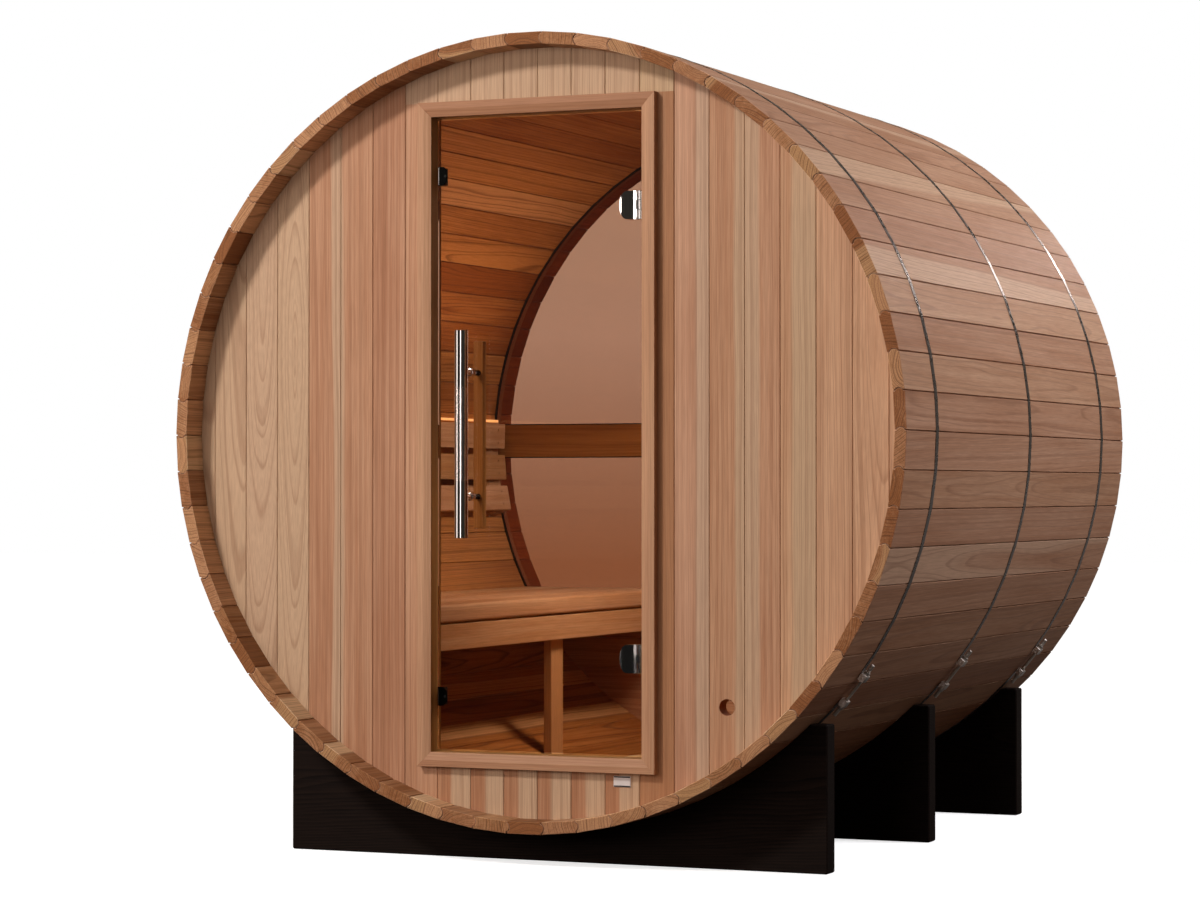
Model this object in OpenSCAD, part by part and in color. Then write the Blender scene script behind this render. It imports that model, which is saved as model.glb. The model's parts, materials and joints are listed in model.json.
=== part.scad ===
// Barrel sauna: a stave barrel on three cradles, with a boarded front wall
// that holds a glass door, and a rear wall of glass over boards.
// Millimetres. X runs across the front, Y from front to rear, Z up.
// The origin is on the ground, midway across the barrel and along it.

/* [Barrel] */
// Diameter over the staves
barrel_d = 1830; // [1600:10:2200]
// Length of the staves
barrel_l = 1830; // [1500:10:2400]
// Number of staves round the barrel, in groups of six
stave_groups = 11; // [10:1:12]
// Thickness of a stave
stave_t = 28; // [24:1:40]
// Height of the barrel's underside over the ground
barrel_lift = 75; // [50:5:150]
// How far the bead on a stave's edge stands out
bead_rise = 6; // [4:0.5:6.5]

/* [End walls] */
// Distance from the stave ends to the faces of the end walls
end_inset = 75; // [50:5:140]
// Thickness of the end walls
wall_t = 42; // [34:1:50]
// Depth of the groove in the staves that holds the end walls
croze_depth = 10; // [6:1:12]
// Width of a wall board
board_pitch = 85; // [75:5:120]

/* [Doorway] */
// Clear width between the jambs
door_w = 531; // [450:1:640]
// Clear height between sill and head
door_h = 1476; // [1250:1:1500]
// Height of the sill's upper edge over the ground
door_z = 251; // [225:1:300]
// Width of a door frame member
frame_w = 34; // [28:1:50]
// How far the door frame stands in front of the wall
frame_proud = 20; // [10:1:35]
// Depth of the door frame
frame_depth = 62; // [55:1:70]
// Width of the flat outer part of the frame's front
frame_flat = 16; // [8:1:24]
// Depth of the slope inside that flat
frame_slope = 6; // [2:1:10]

/* [Glass door] */
// Thickness of the door glass
glass_t = 8; // [6:1:10]
// Depth of the door glass behind the frame's front
glass_recess = 31; // [28:1:36]
// Gap between the glass and the frame
door_gap = 6; // [5.5:0.5:10]
// Distance between the hinge pin and the right jamb
pin_offset = 11.5; // [11:0.5:16]
// Height of a hinge plate
hinge_h = 65; // [50:1:90]
// Width of a hinge plate
hinge_w = 46; // [40:1:60]
// Distance of each hinge's middle from the sill or head
hinge_in = 225; // [150:5:320]
// Radius of a hinge knuckle
knuckle_r = 6; // [5:0.5:7]
// Thickness of a hinge plate
plate_t = 6; // [4:0.5:6]

/* [Handle] */
// Diameter of the outside tube
tube_d = 32; // [24:1:36]
// Length of the outside tube
tube_l = 480; // [380:10:600]
// Distance between the two posts
post_pitch = 288; // [200:4:340]
// Distance from the glass to the middle of the tube
tube_stand = 58; // [48:1:70]
// Distance from the handle to the door's free edge
handle_in = 88; // [70:1:130]
// Length of the inside wooden bar
bar_l = 436; // [360:4:560]
// Width of the inside bar
bar_w = 25; // [20:1:32]
// Depth of the inside bar
bar_d = 20; // [16:1:28]
// Distance from the glass to the inside bar
bar_stand = 26; // [20:1:32]

/* [Small fittings] */
// Diameter of the vent hole
vent_d = 37; // [25:1:60]
// Distance of the vent hole from the barrel's middle
vent_x = 467.5; // [440:0.5:500]
// Height of the vent hole over the ground
vent_z = 372; // [340:1:600]
// Width of the blank label plate
label_w = 42; // [30:1:60]
// Height of the blank label plate
label_h = 25; // [15:1:30]

/* [Rear wall] */
// Height of the boarded part's upper edge
rear_board_top = 530; // [420:5:560]
// Height of the sill rail on the boards
rear_sill_h = 50; // [40:1:70]
// Height of the middle rail's lower edge
mid_rail_z = 953; // [850:1:1050]
// Height of the middle rail
mid_rail_h = 90; // [60:1:120]
// Thickness of the rear glass
rear_glass_t = 8; // [6:1:10]
// Width of the rubber seal along the barrel
seal_w = 12; // [12:1:16]

/* [Bench] */
// Height of the seat over the ground
seat_z = 585; // [540:5:640]
// Thickness of the seat boards
seat_t = 42; // [28:1:45]
// Distance of the seat's front edge from the barrel's middle
seat_front = 316; // [290:1:360]
// Number of seat boards
seat_boards = 4; // [3:1:5]
// Height of the apron below the seat
apron_h = 62; // [40:1:90]
// Thickness of the apron
apron_t = 22; // [18:1:30]
// Width of the bench post
post_w = 73; // [50:1:95]
// Thickness of a bench bearer
bearer_t = 38; // [28:1:45]
// Width of a backrest slat
slat_w = 70; // [55:1:74]
// Distance from one backrest slat to the next
slat_pitch = 89; // [84:1:110]
// Thickness of a backrest slat
slat_t = 20; // [16:1:28]
// Thickness of a batten behind the slats
batten_t = 23; // [15:1:30]
// Width of a batten behind the slats
batten_w = 90; // [45:5:120]

/* [Bands] */
// Width of a steel band
band_w = 20; // [15:1:30]
// Thickness of a steel band
band_t = 0.8; // [0.6:0.1:1.5]
// Gap between a band and the cradle beside it
band_gap = 8; // [4:1:25]
// Angle of the tensioners below the horizontal
tension_angle = 39; // [20:1:45]
// Length of a tensioner's threaded rod
rod_l = 148; // [110:2:180]
// Diameter of a tensioner's threaded rod
rod_d = 8; // [6:1:10]

/* [Cradles] */
// Length of a cradle across the barrel
cradle_l = 1358; // [1200:2:1500]
// Height of a cradle at its ends
cradle_h = 334; // [260:2:380]
// Thickness of a cradle
cradle_t = 50; // [36:1:60]
// Distance of the end cradles' middles from the stave ends
cradle_in = 174; // [170:1:400]

/* [Hidden] */
$fn = 96;

fit = 0.3;        // clearance between seated pieces
seam = 0.5;       // joint line between boards
eps = 1;          // overshoot of a cutting shape

staves_per_group = 6;
stave_count = stave_groups * staves_per_group;
stave_angle = 360 / stave_count;
barrel_r = barrel_d / 2;
axis_z = barrel_lift + barrel_r;
half_l = barrel_l / 2;

// The barrel is a regular polygon outside and inside.
outer_flat = barrel_r * cos(stave_angle / 2);
inner_flat = outer_flat - stave_t;
croze_flat = inner_flat + croze_depth;
inside_r = inner_flat - fit;      // round shapes that seat inside the staves
disc_r = croze_flat - fit;        // end walls, held in the groove
side_r = (outer_flat - stave_t / 2) / cos(stave_angle / 2);
bead_chord = stave_t * 0.36;
bead_r = (bead_chord * bead_chord + bead_rise * bead_rise) / (2 * bead_rise);

front_y = -half_l + end_inset;    // outer face of the front wall
front_in_y = front_y + wall_t;
rear_y = half_l - end_inset;      // outer face of the rear wall
rear_in_y = rear_y - wall_t;

frame_y = front_y - frame_proud;  // front of the door frame
door_top = door_z + door_h;
frame_x = door_w / 2 + frame_w;
frame_low = door_z - frame_w;
frame_top = door_top + frame_w;
glass_y = frame_y + glass_recess; // front face of the door glass
glass_back = glass_y + glass_t;
pin_x = door_w / 2 - pin_offset;
pin_y = glass_y - knuckle_r - 0.5;
leaf_x = pin_x - knuckle_r - 1.5; // inner end of a hinge plate
glass_right = door_w / 2 - 8.5;
glass_left = -door_w / 2 + door_gap;
hinge_zs = [door_z + hinge_in, door_top - hinge_in + 5];
catch_zs = [door_z + 128, door_top - 136];

handle_x = glass_left + handle_in;
handle_z = 988;
bolt_r = 5;

seal_y = rear_in_y;
seal_lip = 3;                     // rubber that shows round the glass
glass_bite = 7;                   // glass edge inside its seal
sill_top = rear_board_top + rear_sill_h;
mid_rail_top = mid_rail_z + mid_rail_h;
crown_z = axis_z + barrel_r;

seat_low = seat_z - seat_t;
seat_gap = 6;
seat_back = sqrt(inside_r * inside_r - (axis_z - seat_z) * (axis_z - seat_z));
seat_pitch = (seat_back - seat_front + seat_gap) / seat_boards;
apron_top = seat_low - 5;
bench_end = front_in_y + 2;
bench_far = rear_in_y - 2;
bearer_ys = [bench_end, -bearer_t / 2 + 60, bench_far - bearer_t];

slat_face_r = inside_r - batten_t - slat_t;
slat_step = 2 * asin(slat_pitch / (2 * (slat_face_r + slat_t)));
slat_top_angle = 178.6;
slat_back_r = sqrt(pow(slat_face_r + slat_t, 2) + slat_w * slat_w / 4) + fit;
slat_half = rear_in_y - 18;
batten_start = slat_top_angle - 2.6;
batten_sweep = 2 * slat_step + 5.2;

cradle_ys = [-half_l + cradle_in, -5, half_l - cradle_in];
band_off = cradle_t / 2 + band_gap + band_w / 2;
band_ys = [cradle_ys[0] + band_off, cradle_ys[1] + band_off, cradle_ys[2] - band_off];
band_r = barrel_r + fit;
block_t = 14;                     // tensioner block, along the band
block_h = 16;
block_w = band_w + 4;
block_reach = rod_l / 4;
rod_r = sqrt(pow(band_r + band_t, 2) - pow(block_reach - block_t / 2, 2))
    + block_h / 2 + fit;       // the blocks rest on the band
nut_af = rod_d * 1.63;
nut_t = rod_d * 0.85;

wood = "burlywood";
dark_wood = "peru";
steel = "silver";

// A flat shape drawn in barrel section, run along the barrel from y0 to y1.
// In the drawing the axis of the barrel is at the origin, X right and Y up.
module along(y0, y1) {
    translate([0, y1, axis_z]) rotate([90, 0, 0])
        linear_extrude(height = y1 - y0) children();
}

// A rod parallel to the barrel's axis.
module rod_along(r, x, z, y0, y1) {
    translate([x, y1, z]) rotate([90, 0, 0]) cylinder(r = r, h = y1 - y0);
}

// A box from its low corner to its high corner.
module block(low, high) {
    translate(low) cube(high - low);
}

// ---- staves ------------------------------------------------------------

// One stave, flat side out, with a bead on one edge and a cove on the other.
module stave(middle) {
    half_out = outer_flat * tan(stave_angle / 2) - seam / 4;
    half_in = inner_flat * tan(stave_angle / 2) - seam / 4;
    edge_x = side_r * sin(stave_angle / 2);
    edge_z = side_r * cos(stave_angle / 2);
    back = bead_r - bead_rise;
    dx = back * cos(stave_angle / 2);
    dz = back * sin(stave_angle / 2);
    translate([0, 0, axis_z]) rotate([0, 90 - middle, 0])
    difference() {
        union() {
            translate([0, half_l, 0]) rotate([90, 0, 0])
                linear_extrude(height = barrel_l)
                polygon([[-half_in, inner_flat], [half_in, inner_flat],
                    [half_out, outer_flat], [-half_out, outer_flat]]);
            rod_along(bead_r, -edge_x + dx, edge_z + dz, -half_l, half_l);
        }
        rod_along(bead_r + fit, edge_x + dx, edge_z - dz, -half_l - eps, half_l + eps);
        for (y = [front_y, rear_in_y])
            block([-half_out * 2, y - fit, inner_flat - stave_t],
                [half_out * 2, y + wall_t + fit, croze_flat]);
    }
}

// Six neighbouring staves. Group 1 starts level with the axis on the right.
module staves(group) {
    color(wood)
    for (i = [0 : staves_per_group - 1])
        stave(((group - 1) * staves_per_group + i + 0.5) * stave_angle);
}

// ---- front wall ---------------------------------------------------------

// The vertical boards of the front wall between x0 and x1, z0 and z1.
module wall_boards(x0, x1, z0, z1) {
    first = floor(x0 / board_pitch);
    last = ceil(x1 / board_pitch) - 1;
    for (i = [first : last]) {
        left = max(i * board_pitch + seam / 2, x0);
        right = min((i + 1) * board_pitch - seam / 2, x1);
        if (right - left > 2)
            along(front_y, front_in_y) intersection() {
                circle(r = disc_r, $fn = 180);
                translate([left, z0 - axis_z]) square([right - left, z1 - z0]);
            }
    }
}

module front_wall_left() {
    color(wood) wall_boards(-disc_r, -frame_x - fit, 0, crown_z);
}

module front_wall_right() {
    color(wood) difference() {
        wall_boards(frame_x + fit, disc_r, 0, crown_z);
        rod_along(vent_d / 2, vent_x, vent_z, front_y - eps, front_in_y + eps);
    }
}

module front_wall_head() {
    color(wood) wall_boards(-frame_x, frame_x, frame_top + fit, crown_z);
}

module front_wall_foot() {
    color(wood) wall_boards(-frame_x, frame_x, 0, frame_low - fit);
}

// ---- door frame ----------------------------------------------------------

// Frame section, from the outer edge inwards and from the front backwards.
module frame_section() {
    polygon([[0, 0], [frame_flat, 0], [frame_w, frame_slope],
        [frame_w, frame_depth], [0, frame_depth]]);
}

// A frame member of the given outer length with its ends mitred.
// Its outer edge lies along X, and it spreads towards +Z.
module frame_member(outer_l) {
    intersection() {
        translate([0, frame_y, 0]) rotate([90, 0, 90])
            linear_extrude(height = outer_l)
            mirror([1, 0]) rotate(90) frame_section();
        translate([0, frame_y + frame_depth + eps, 0]) rotate([90, 0, 0])
            linear_extrude(height = frame_depth + 2 * eps)
            polygon([[0, 0], [outer_l, 0], [outer_l - frame_w, frame_w],
                [frame_w, frame_w]]);
    }
}

module door_sill() {
    color(wood) translate([-frame_x, 0, frame_low])
        frame_member(2 * frame_x);
}

module door_head() {
    color(wood) translate([-frame_x, 0, frame_top]) mirror([0, 0, 1])
        frame_member(2 * frame_x);
}

module door_jamb_left() {
    color(wood) translate([-frame_x, 0, frame_top]) rotate([0, 90, 0])
        frame_member(frame_top - frame_low);
}

module door_jamb_right() {
    color(wood) mirror([1, 0, 0]) translate([-frame_x, 0, frame_top])
        rotate([0, 90, 0]) frame_member(frame_top - frame_low);
}

// ---- glass door ----------------------------------------------------------

module door_glass() {
    color("saddlebrown", 0.6) difference() {
        block([glass_left, glass_y, door_z + door_gap],
            [glass_right, glass_back, door_top - door_gap]);
        for (side = [-1, 1])
            rod_along(bolt_r + fit, handle_x, handle_z + side * post_pitch / 2,
                glass_y - eps, glass_back + eps);
    }
}

// The outside tube with its two posts and their bolts through the glass.
module handle_outer() {
    tube_y = glass_y - tube_stand;
    color(steel) {
        translate([handle_x, tube_y, handle_z - tube_l / 2])
            cylinder(d = tube_d, h = tube_l);
        for (side = [-1, 1]) {
            z = handle_z + side * post_pitch / 2;
            rod_along(8, handle_x, z, tube_y, glass_y);
            rod_along(bolt_r, handle_x, z, glass_y - eps, glass_back + bar_stand / 2);
        }
    }
}

// The inside wooden bar on its two bushes.
module handle_inner() {
    bar_y = glass_back + bar_stand;
    color(dark_wood) difference() {
        union() {
            block([handle_x - bar_w / 2, bar_y, handle_z - bar_l / 2],
                [handle_x + bar_w / 2, bar_y + bar_d, handle_z + bar_l / 2]);
            for (side = [-1, 1])
                rod_along(8, handle_x, handle_z + side * post_pitch / 2,
                    glass_back, bar_y + eps);
        }
        for (side = [-1, 1])
            rod_along(bolt_r + fit, handle_x, handle_z + side * post_pitch / 2,
                glass_back - eps, glass_back + bar_stand / 2 + fit);
    }
}

// A plate with a round end at low x, between y0 and y1.
module round_plate(x0, x1, z, h, y0, y1) {
    r = h / 2;
    intersection() {
        union() {
            rod_along(r, x0 + r, z, y0, y1);
            block([x0 + r, y0, z - r], [x0 + 2 * h, y1, z + r]);
        }
        block([x0 - eps, y0 - eps, z - h], [x1, y1 + eps, z + h]);
    }
}

// The plates clamped to the glass, each with the middle knuckle of its hinge.
module door_hinge_leaves() {
    color(steel) for (z = hinge_zs) {
        difference() {
            union() {
                round_plate(leaf_x - hinge_w, leaf_x, z, hinge_h,
                    glass_y - plate_t, glass_y);
                block([leaf_x - eps, glass_y - plate_t, z - hinge_h / 6],
                    [pin_x, glass_y - 1, z + hinge_h / 6]);
                translate([pin_x, pin_y, z - hinge_h / 6])
                    cylinder(r = knuckle_r, h = hinge_h / 3);
            }
            translate([pin_x, pin_y, z - hinge_h])
                cylinder(r = knuckle_r / 2 + fit, h = hinge_h * 2);
        }
        round_plate(leaf_x - hinge_w, leaf_x, z, hinge_h,
            glass_back, glass_back + plate_t);
    }
}

// The leaves on the right jamb, each with two knuckles and the pin.
module jamb_hinge_leaves() {
    leaf_t = 3;
    color(steel) for (z = hinge_zs) {
        block([door_w / 2 - leaf_t, pin_y - 10, z - hinge_h / 2],
            [door_w / 2, pin_y + 10, z + hinge_h / 2]);
        translate([pin_x, pin_y, z - hinge_h / 2])
            cylinder(r = knuckle_r / 2, h = hinge_h);
        for (side = [-1, 1]) {
            low = side < 0 ? z - hinge_h / 2 : z + hinge_h / 6 + fit;
            h = hinge_h / 3 - fit;
            translate([pin_x, pin_y, low]) cylinder(r = knuckle_r, h = h);
            block([pin_x, pin_y - 3, low], [door_w / 2 - leaf_t + eps, pin_y + 3, low + h]);
        }
    }
}

// Strike plates on the free edge of the glass.
module catch_plates() {
    color("dimgray") for (z = catch_zs)
        mirror([1, 0, 0])
        round_plate(-glass_left - 28, -glass_left, z, 46, glass_y - 3, glass_y);
}

// Magnets on the left jamb, just behind the glass.
module catch_magnets() {
    color("dimgray") for (z = catch_zs)
        block([-door_w / 2, glass_back + 5.5, z - 20],
            [-door_w / 2 + 18, frame_y + frame_depth, z + 20]);
}

module label_plate() {
    x = door_w / 2 - 32;
    color("whitesmoke") block([x - label_w, front_y - 2, frame_low - 7 - label_h],
        [x, front_y, frame_low - 7]);
}

// ---- rear wall -----------------------------------------------------------

// The part of a disc between two heights, drawn in barrel section.
module disc_slice(r, z0, z1) {
    intersection() {
        circle(r = r, $fn = 180);
        translate([-r, z0 - axis_z]) square([2 * r, z1 - z0]);
    }
}

// Horizontal boards, the top one full width.
module rear_boards() {
    count = ceil((rear_board_top - axis_z + disc_r) / board_pitch);
    color(wood) for (i = [0 : count - 1]) {
        top = rear_board_top - i * board_pitch;
        along(rear_in_y, rear_y)
            disc_slice(disc_r, top - board_pitch + seam, top);
    }
}

// A rail across the barrel, grooved for the seals above and below it.
module rail(z0, z1, groove_low) {
    color(wood) difference() {
        along(rear_in_y, rear_y) disc_slice(disc_r, z0, z1);
        block([-barrel_r, seal_y - eps, z1 - croze_depth],
            [barrel_r, seal_y + seal_w + fit, z1 + eps]);
        if (groove_low)
            block([-barrel_r, seal_y - eps, z0 - eps],
                [barrel_r, seal_y + seal_w + fit, z0 + croze_depth]);
    }
}

module rear_rails() {
    rail(rear_board_top + seam, sill_top, false);
    rail(mid_rail_z, mid_rail_top, true);
}

// One pane, its edge in the seal. z0 and z1 are the faces of the rails.
module pane(z0, z1) {
    sunk = croze_depth - 3;
    y = seal_y + (seal_w - rear_glass_t) / 2;
    color("saddlebrown", 0.6) along(y, y + rear_glass_t)
        disc_slice(croze_flat - 3, z0 - sunk, z1 + sunk);
}

module rear_glass_lower() {
    pane(sill_top, mid_rail_z);
}

module rear_glass_upper() {
    pane(mid_rail_top, crown_z);
}

// The rubber channel round one pane.
module pane_seal(z0, z1) {
    y = seal_y + (seal_w - rear_glass_t) / 2;
    sunk = croze_depth - 3 + fit;
    difference() {
        along(seal_y, seal_y + seal_w) difference() {
            disc_slice(disc_r, z0 - croze_depth + fit, z1 + croze_depth - fit);
            disc_slice(inner_flat - seal_lip, z0 + seal_lip, z1 - seal_lip);
        }
        along(y - 0.1, y + rear_glass_t + 0.1)
            disc_slice(croze_flat - 3 + fit, z0 - sunk, z1 + sunk);
    }
}

module rear_seals() {
    color("black") {
        pane_seal(sill_top, mid_rail_z);
        pane_seal(mid_rail_top, crown_z);
    }
}

// Wooden stops in the groove behind the glass, flush with the staves.
module rear_glazing_stops() {
    color(wood)
    for (span = [[sill_top, mid_rail_z], [mid_rail_top, crown_z]])
        along(seal_y + seal_w + fit, rear_y) difference() {
            disc_slice(disc_r, span[0] + fit, span[1] - fit);
            circle(r = inner_flat, $fn = 180);
        }
}

// ---- bench ---------------------------------------------------------------

// Seat boards along the barrel, the front one with a round nose and the
// last one cut to the staves.
module seat() {
    nose = seat_t / 2;
    color(dark_wood) for (i = [0 : seat_boards - 1])
        along(bench_end, bench_far) intersection() {
            union() {
                translate([-seat_front - (i + 1) * seat_pitch + seat_gap
                    - (i == seat_boards - 1 ? seat_pitch / 2 : 0), seat_low - axis_z])
                    square([seat_pitch * (i == seat_boards - 1 ? 1.5 : 1) - seat_gap
                        - (i == 0 ? nose : 0), seat_t]);
                if (i == 0)
                    translate([-seat_front - nose, seat_low + nose - axis_z])
                        circle(r = nose);
            }
            circle(r = inside_r, $fn = 180);
        }
}

module seat_apron() {
    color(dark_wood) block([-seat_front - 2 - apron_t, bench_end, apron_top - apron_h],
        [-seat_front - 2, bench_far, apron_top]);
}

// The floor under a point of the bench: the inside of the staves.
module inside_cut() {
    along(-half_l, half_l) circle(r = inside_r, $fn = 180);
}

// The upright behind the apron, from the staves up to the seat.
module bench_post() {
    x = -seat_front - 2 - apron_t;
    color(dark_wood) intersection() {
        block([x - apron_t, -post_w / 2 + 28, 0], [x, post_w / 2 + 28, seat_low]);
        inside_cut();
    }
}

// Cross bearers under the seat, from the apron back to the staves.
module bench_bearers() {
    x = -seat_front - 2 - apron_t - fit;
    middle = bearer_ys[1];
    color(dark_wood) for (y = bearer_ys)
        intersection() {
            block([-barrel_r, y, apron_top - apron_h],
                [y == middle ? x - apron_t : x, y + bearer_t, seat_low]);
            inside_cut();
        }
}

// Three slats, each square to the barrel's radius.
module backrest_slats() {
    color(dark_wood) for (i = [0 : 2])
        translate([0, 0, axis_z]) rotate([0, -slat_top_angle - i * slat_step, 0])
            block([slat_face_r, -slat_half, -slat_w / 2],
                [slat_face_r + slat_t, slat_half, slat_w / 2]);
}

// Curved battens on the staves, at both ends and in the middle.
module backrest_battens() {
    color(dark_wood) for (y = [-slat_half, -batten_w / 2, slat_half - batten_w])
        translate([0, y + batten_w, axis_z]) rotate([90, 0, 0])
            rotate([0, 0, batten_start])
            rotate_extrude(angle = batten_sweep, $fn = 180)
            translate([slat_back_r, 0]) square([inside_r - slat_back_r, batten_w]);
}

// The light strip on top of the battens.
module light_strip() {
    color("moccasin") translate([0, 0, axis_z]) rotate([0, -batten_start, 0])
        block([slat_back_r + 2, -slat_half, -7 - fit], [slat_back_r + 14, slat_half, -fit]);
}

// ---- bands and cradles -----------------------------------------------------

// Each band runs from one tensioner block round the barrel to the other.
module bands() {
    open = asin(block_reach / rod_r);
    color(steel) for (y = band_ys)
        translate([0, y + band_w / 2, axis_z]) rotate([90, 0, 0])
            rotate([0, 0, -tension_angle + open])
            rotate_extrude(angle = 360 - 2 * open, $fn = 180)
            translate([band_r, 0]) square([band_t, band_w]);
}

// Two blocks on a threaded rod, with a nut outside each.
module band_tensioners() {
    color(steel) for (y = band_ys)
        translate([0, y, axis_z]) rotate([0, tension_angle, 0]) {
            translate([rod_r, 0, -rod_l / 2]) cylinder(d = rod_d, h = rod_l);
            for (side = [-1, 1]) {
                translate([rod_r, 0, side * (block_reach + block_t / 2 + nut_t / 2)
                    - nut_t / 2])
                    cylinder(d = nut_af / cos(30), h = nut_t, $fn = 6);
                block([rod_r - block_h / 2, -block_w / 2, side * block_reach - block_t / 2],
                    [rod_r + block_h / 2, block_w / 2, side * block_reach + block_t / 2]);
            }
        }
}

// A plank on edge with a round seat for the barrel.
module cradle(y) {
    color([0.1, 0.09, 0.09]) difference() {
        block([-cradle_l / 2, y - cradle_t / 2, 0], [cradle_l / 2, y + cradle_t / 2, cradle_h]);
        rod_along(barrel_r + fit, 0, axis_z, y - cradle_t, y + cradle_t, $fn = 180);
    }
}

module cradle_front() {
    cradle(cradle_ys[0]);
}

module cradle_middle() {
    cradle(cradle_ys[1]);
}

module cradle_rear() {
    cradle(cradle_ys[2]);
}

for (i = [1 : stave_groups])
    staves(i);
front_wall_left();
front_wall_right();
front_wall_head();
front_wall_foot();
door_jamb_left();
door_jamb_right();
door_head();
door_sill();
door_glass();
handle_outer();
handle_inner();
door_hinge_leaves();
jamb_hinge_leaves();
catch_plates();
catch_magnets();
label_plate();
rear_boards();
rear_rails();
rear_glass_lower();
rear_glass_upper();
rear_seals();
rear_glazing_stops();
seat();
seat_apron();
bench_post();
bench_bearers();
backrest_slats();
backrest_battens();
light_strip();
bands();
band_tensioners();
cradle_front();
cradle_middle();
cradle_rear();
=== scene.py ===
import json
from functools import partial

import bpy
import numpy as np
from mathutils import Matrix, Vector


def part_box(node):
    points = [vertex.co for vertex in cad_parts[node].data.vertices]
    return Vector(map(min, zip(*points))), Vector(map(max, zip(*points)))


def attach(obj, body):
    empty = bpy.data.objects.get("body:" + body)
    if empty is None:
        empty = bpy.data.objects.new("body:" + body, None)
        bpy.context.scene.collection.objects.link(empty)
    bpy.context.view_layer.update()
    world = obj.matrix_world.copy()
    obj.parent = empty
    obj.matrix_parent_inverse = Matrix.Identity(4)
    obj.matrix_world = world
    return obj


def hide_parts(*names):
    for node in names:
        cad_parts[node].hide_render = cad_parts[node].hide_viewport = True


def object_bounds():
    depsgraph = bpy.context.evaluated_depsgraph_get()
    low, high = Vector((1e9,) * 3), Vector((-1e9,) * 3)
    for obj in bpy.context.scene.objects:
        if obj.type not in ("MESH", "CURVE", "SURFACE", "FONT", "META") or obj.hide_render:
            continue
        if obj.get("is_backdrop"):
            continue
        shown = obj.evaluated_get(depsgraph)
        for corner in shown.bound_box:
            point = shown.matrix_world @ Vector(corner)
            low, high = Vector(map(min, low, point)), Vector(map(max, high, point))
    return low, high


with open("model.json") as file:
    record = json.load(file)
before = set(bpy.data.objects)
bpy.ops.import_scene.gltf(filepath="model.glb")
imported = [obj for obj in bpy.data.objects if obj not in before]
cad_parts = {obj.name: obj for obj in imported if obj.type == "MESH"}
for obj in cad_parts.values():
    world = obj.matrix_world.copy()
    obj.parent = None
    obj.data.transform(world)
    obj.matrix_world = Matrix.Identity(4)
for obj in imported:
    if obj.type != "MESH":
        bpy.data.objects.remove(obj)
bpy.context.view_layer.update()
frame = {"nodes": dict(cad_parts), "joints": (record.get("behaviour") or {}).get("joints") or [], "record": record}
nodes = frame["nodes"]
mm = 0.001

# ---- Staves ------------------------------------------------------------------
# The barrel is a ring of 66 staves, planed from red cedar and left bare. Each has a
# bead on one edge that sits in the cove of the next, lightly broken corners, and a
# groove across its inside near both ends that holds the end walls.

stave_nodes = ["staves_%d" % i for i in range(1, 12)]
stave_boxes = np.array([[list(corner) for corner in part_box(n)] for n in stave_nodes])
keel, crown = stave_boxes[:, 0, 2].min(), stave_boxes[:, 1, 2].max()
axis_z = (keel + crown) / 2
outer = (crown - keel) / 2              # from the axis to a stave's flat outside
half_l = stave_boxes[:, 1, 1].max()
stave_count = 66
step = 2 * np.pi / stave_count
stave_t = 28 * mm
inner = outer - stave_t
croze = inner + 10 * mm                 # floor of the groove for the end walls
disc_r = croze - 0.3 * mm               # radius of the end walls in that groove
wall_front, wall_back = (corner.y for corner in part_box("front_wall_left"))
rear_in, rear_out = (corner.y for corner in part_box("rear_boards"))
chance = np.random.default_rng(66)


def inset(outline, depth):
    """A closed outline moved inwards: each corner goes along the sum of its two edge
    normals, divided by one plus their cosine."""
    after = np.roll(outline, -1, 0)
    edge = after - outline
    normal = np.stack([edge[:, 1], -edge[:, 0]], 1) / np.linalg.norm(edge, axis=1)[:, None]
    area = np.sum(outline[:, 0] * after[:, 1] - outline[:, 1] * after[:, 0])
    before = np.roll(normal, 1, 0)
    lean = np.maximum(1 + np.sum(normal * before, 1), 0.4)[:, None]
    return outline - np.sign(area) * depth * (normal + before) / lean


def narrowed(outline, bite, low, high):
    """Four sections from low to high, narrower at both ends, and how far along each lies."""
    small = inset(outline, bite)
    return np.stack([small, outline, outline, small]), np.stack([low, low + bite, high - bite, high])


def round_barrel(s, r, y, turn):
    """Points s round the barrel and r out from its axis, turned with their piece:
    x = r cos(turn) - s sin(turn), and z above the axis = r sin(turn) + s cos(turn)."""
    x = r * np.cos(turn) - s * np.sin(turn)
    return np.stack([x, np.broadcast_to(y, x.shape), axis_z + r * np.sin(turn) + s * np.cos(turn)], -1)


def log_of(flat, light, sap=None, lean=0.012, side=None, hue=None):
    """Where a board was sawn from its log. Its pith lies off the board's face when the board is
    flat sawn, and off its edge when it is quarter sawn, a little out of line with its length.
    side, in degrees, says which way the pith lies. light is how dark the board is, and hue goes
    from 0, straw, to 1, pink. Sapwood starts sap from the board's middle, or nowhere."""
    turn = chance.normal(np.pi / 2 if chance.random() < flat else 0, 0.3) + np.pi * (chance.random() < 0.5)
    turn = turn if side is None else np.radians(side)
    far = chance.uniform(55, 130) * mm if abs(np.sin(turn)) > 0.7 else chance.uniform(110, 240) * mm
    shade = chance.random()
    return {"pith": far * np.array([np.cos(turn), np.sin(turn)]),
            "lean": chance.normal(0, lean, 2),
            "start": chance.uniform(0, 40),
            "tone": (light, 9.0 if sap is None else far + sap, shade if hue is None else hue)}


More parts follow.
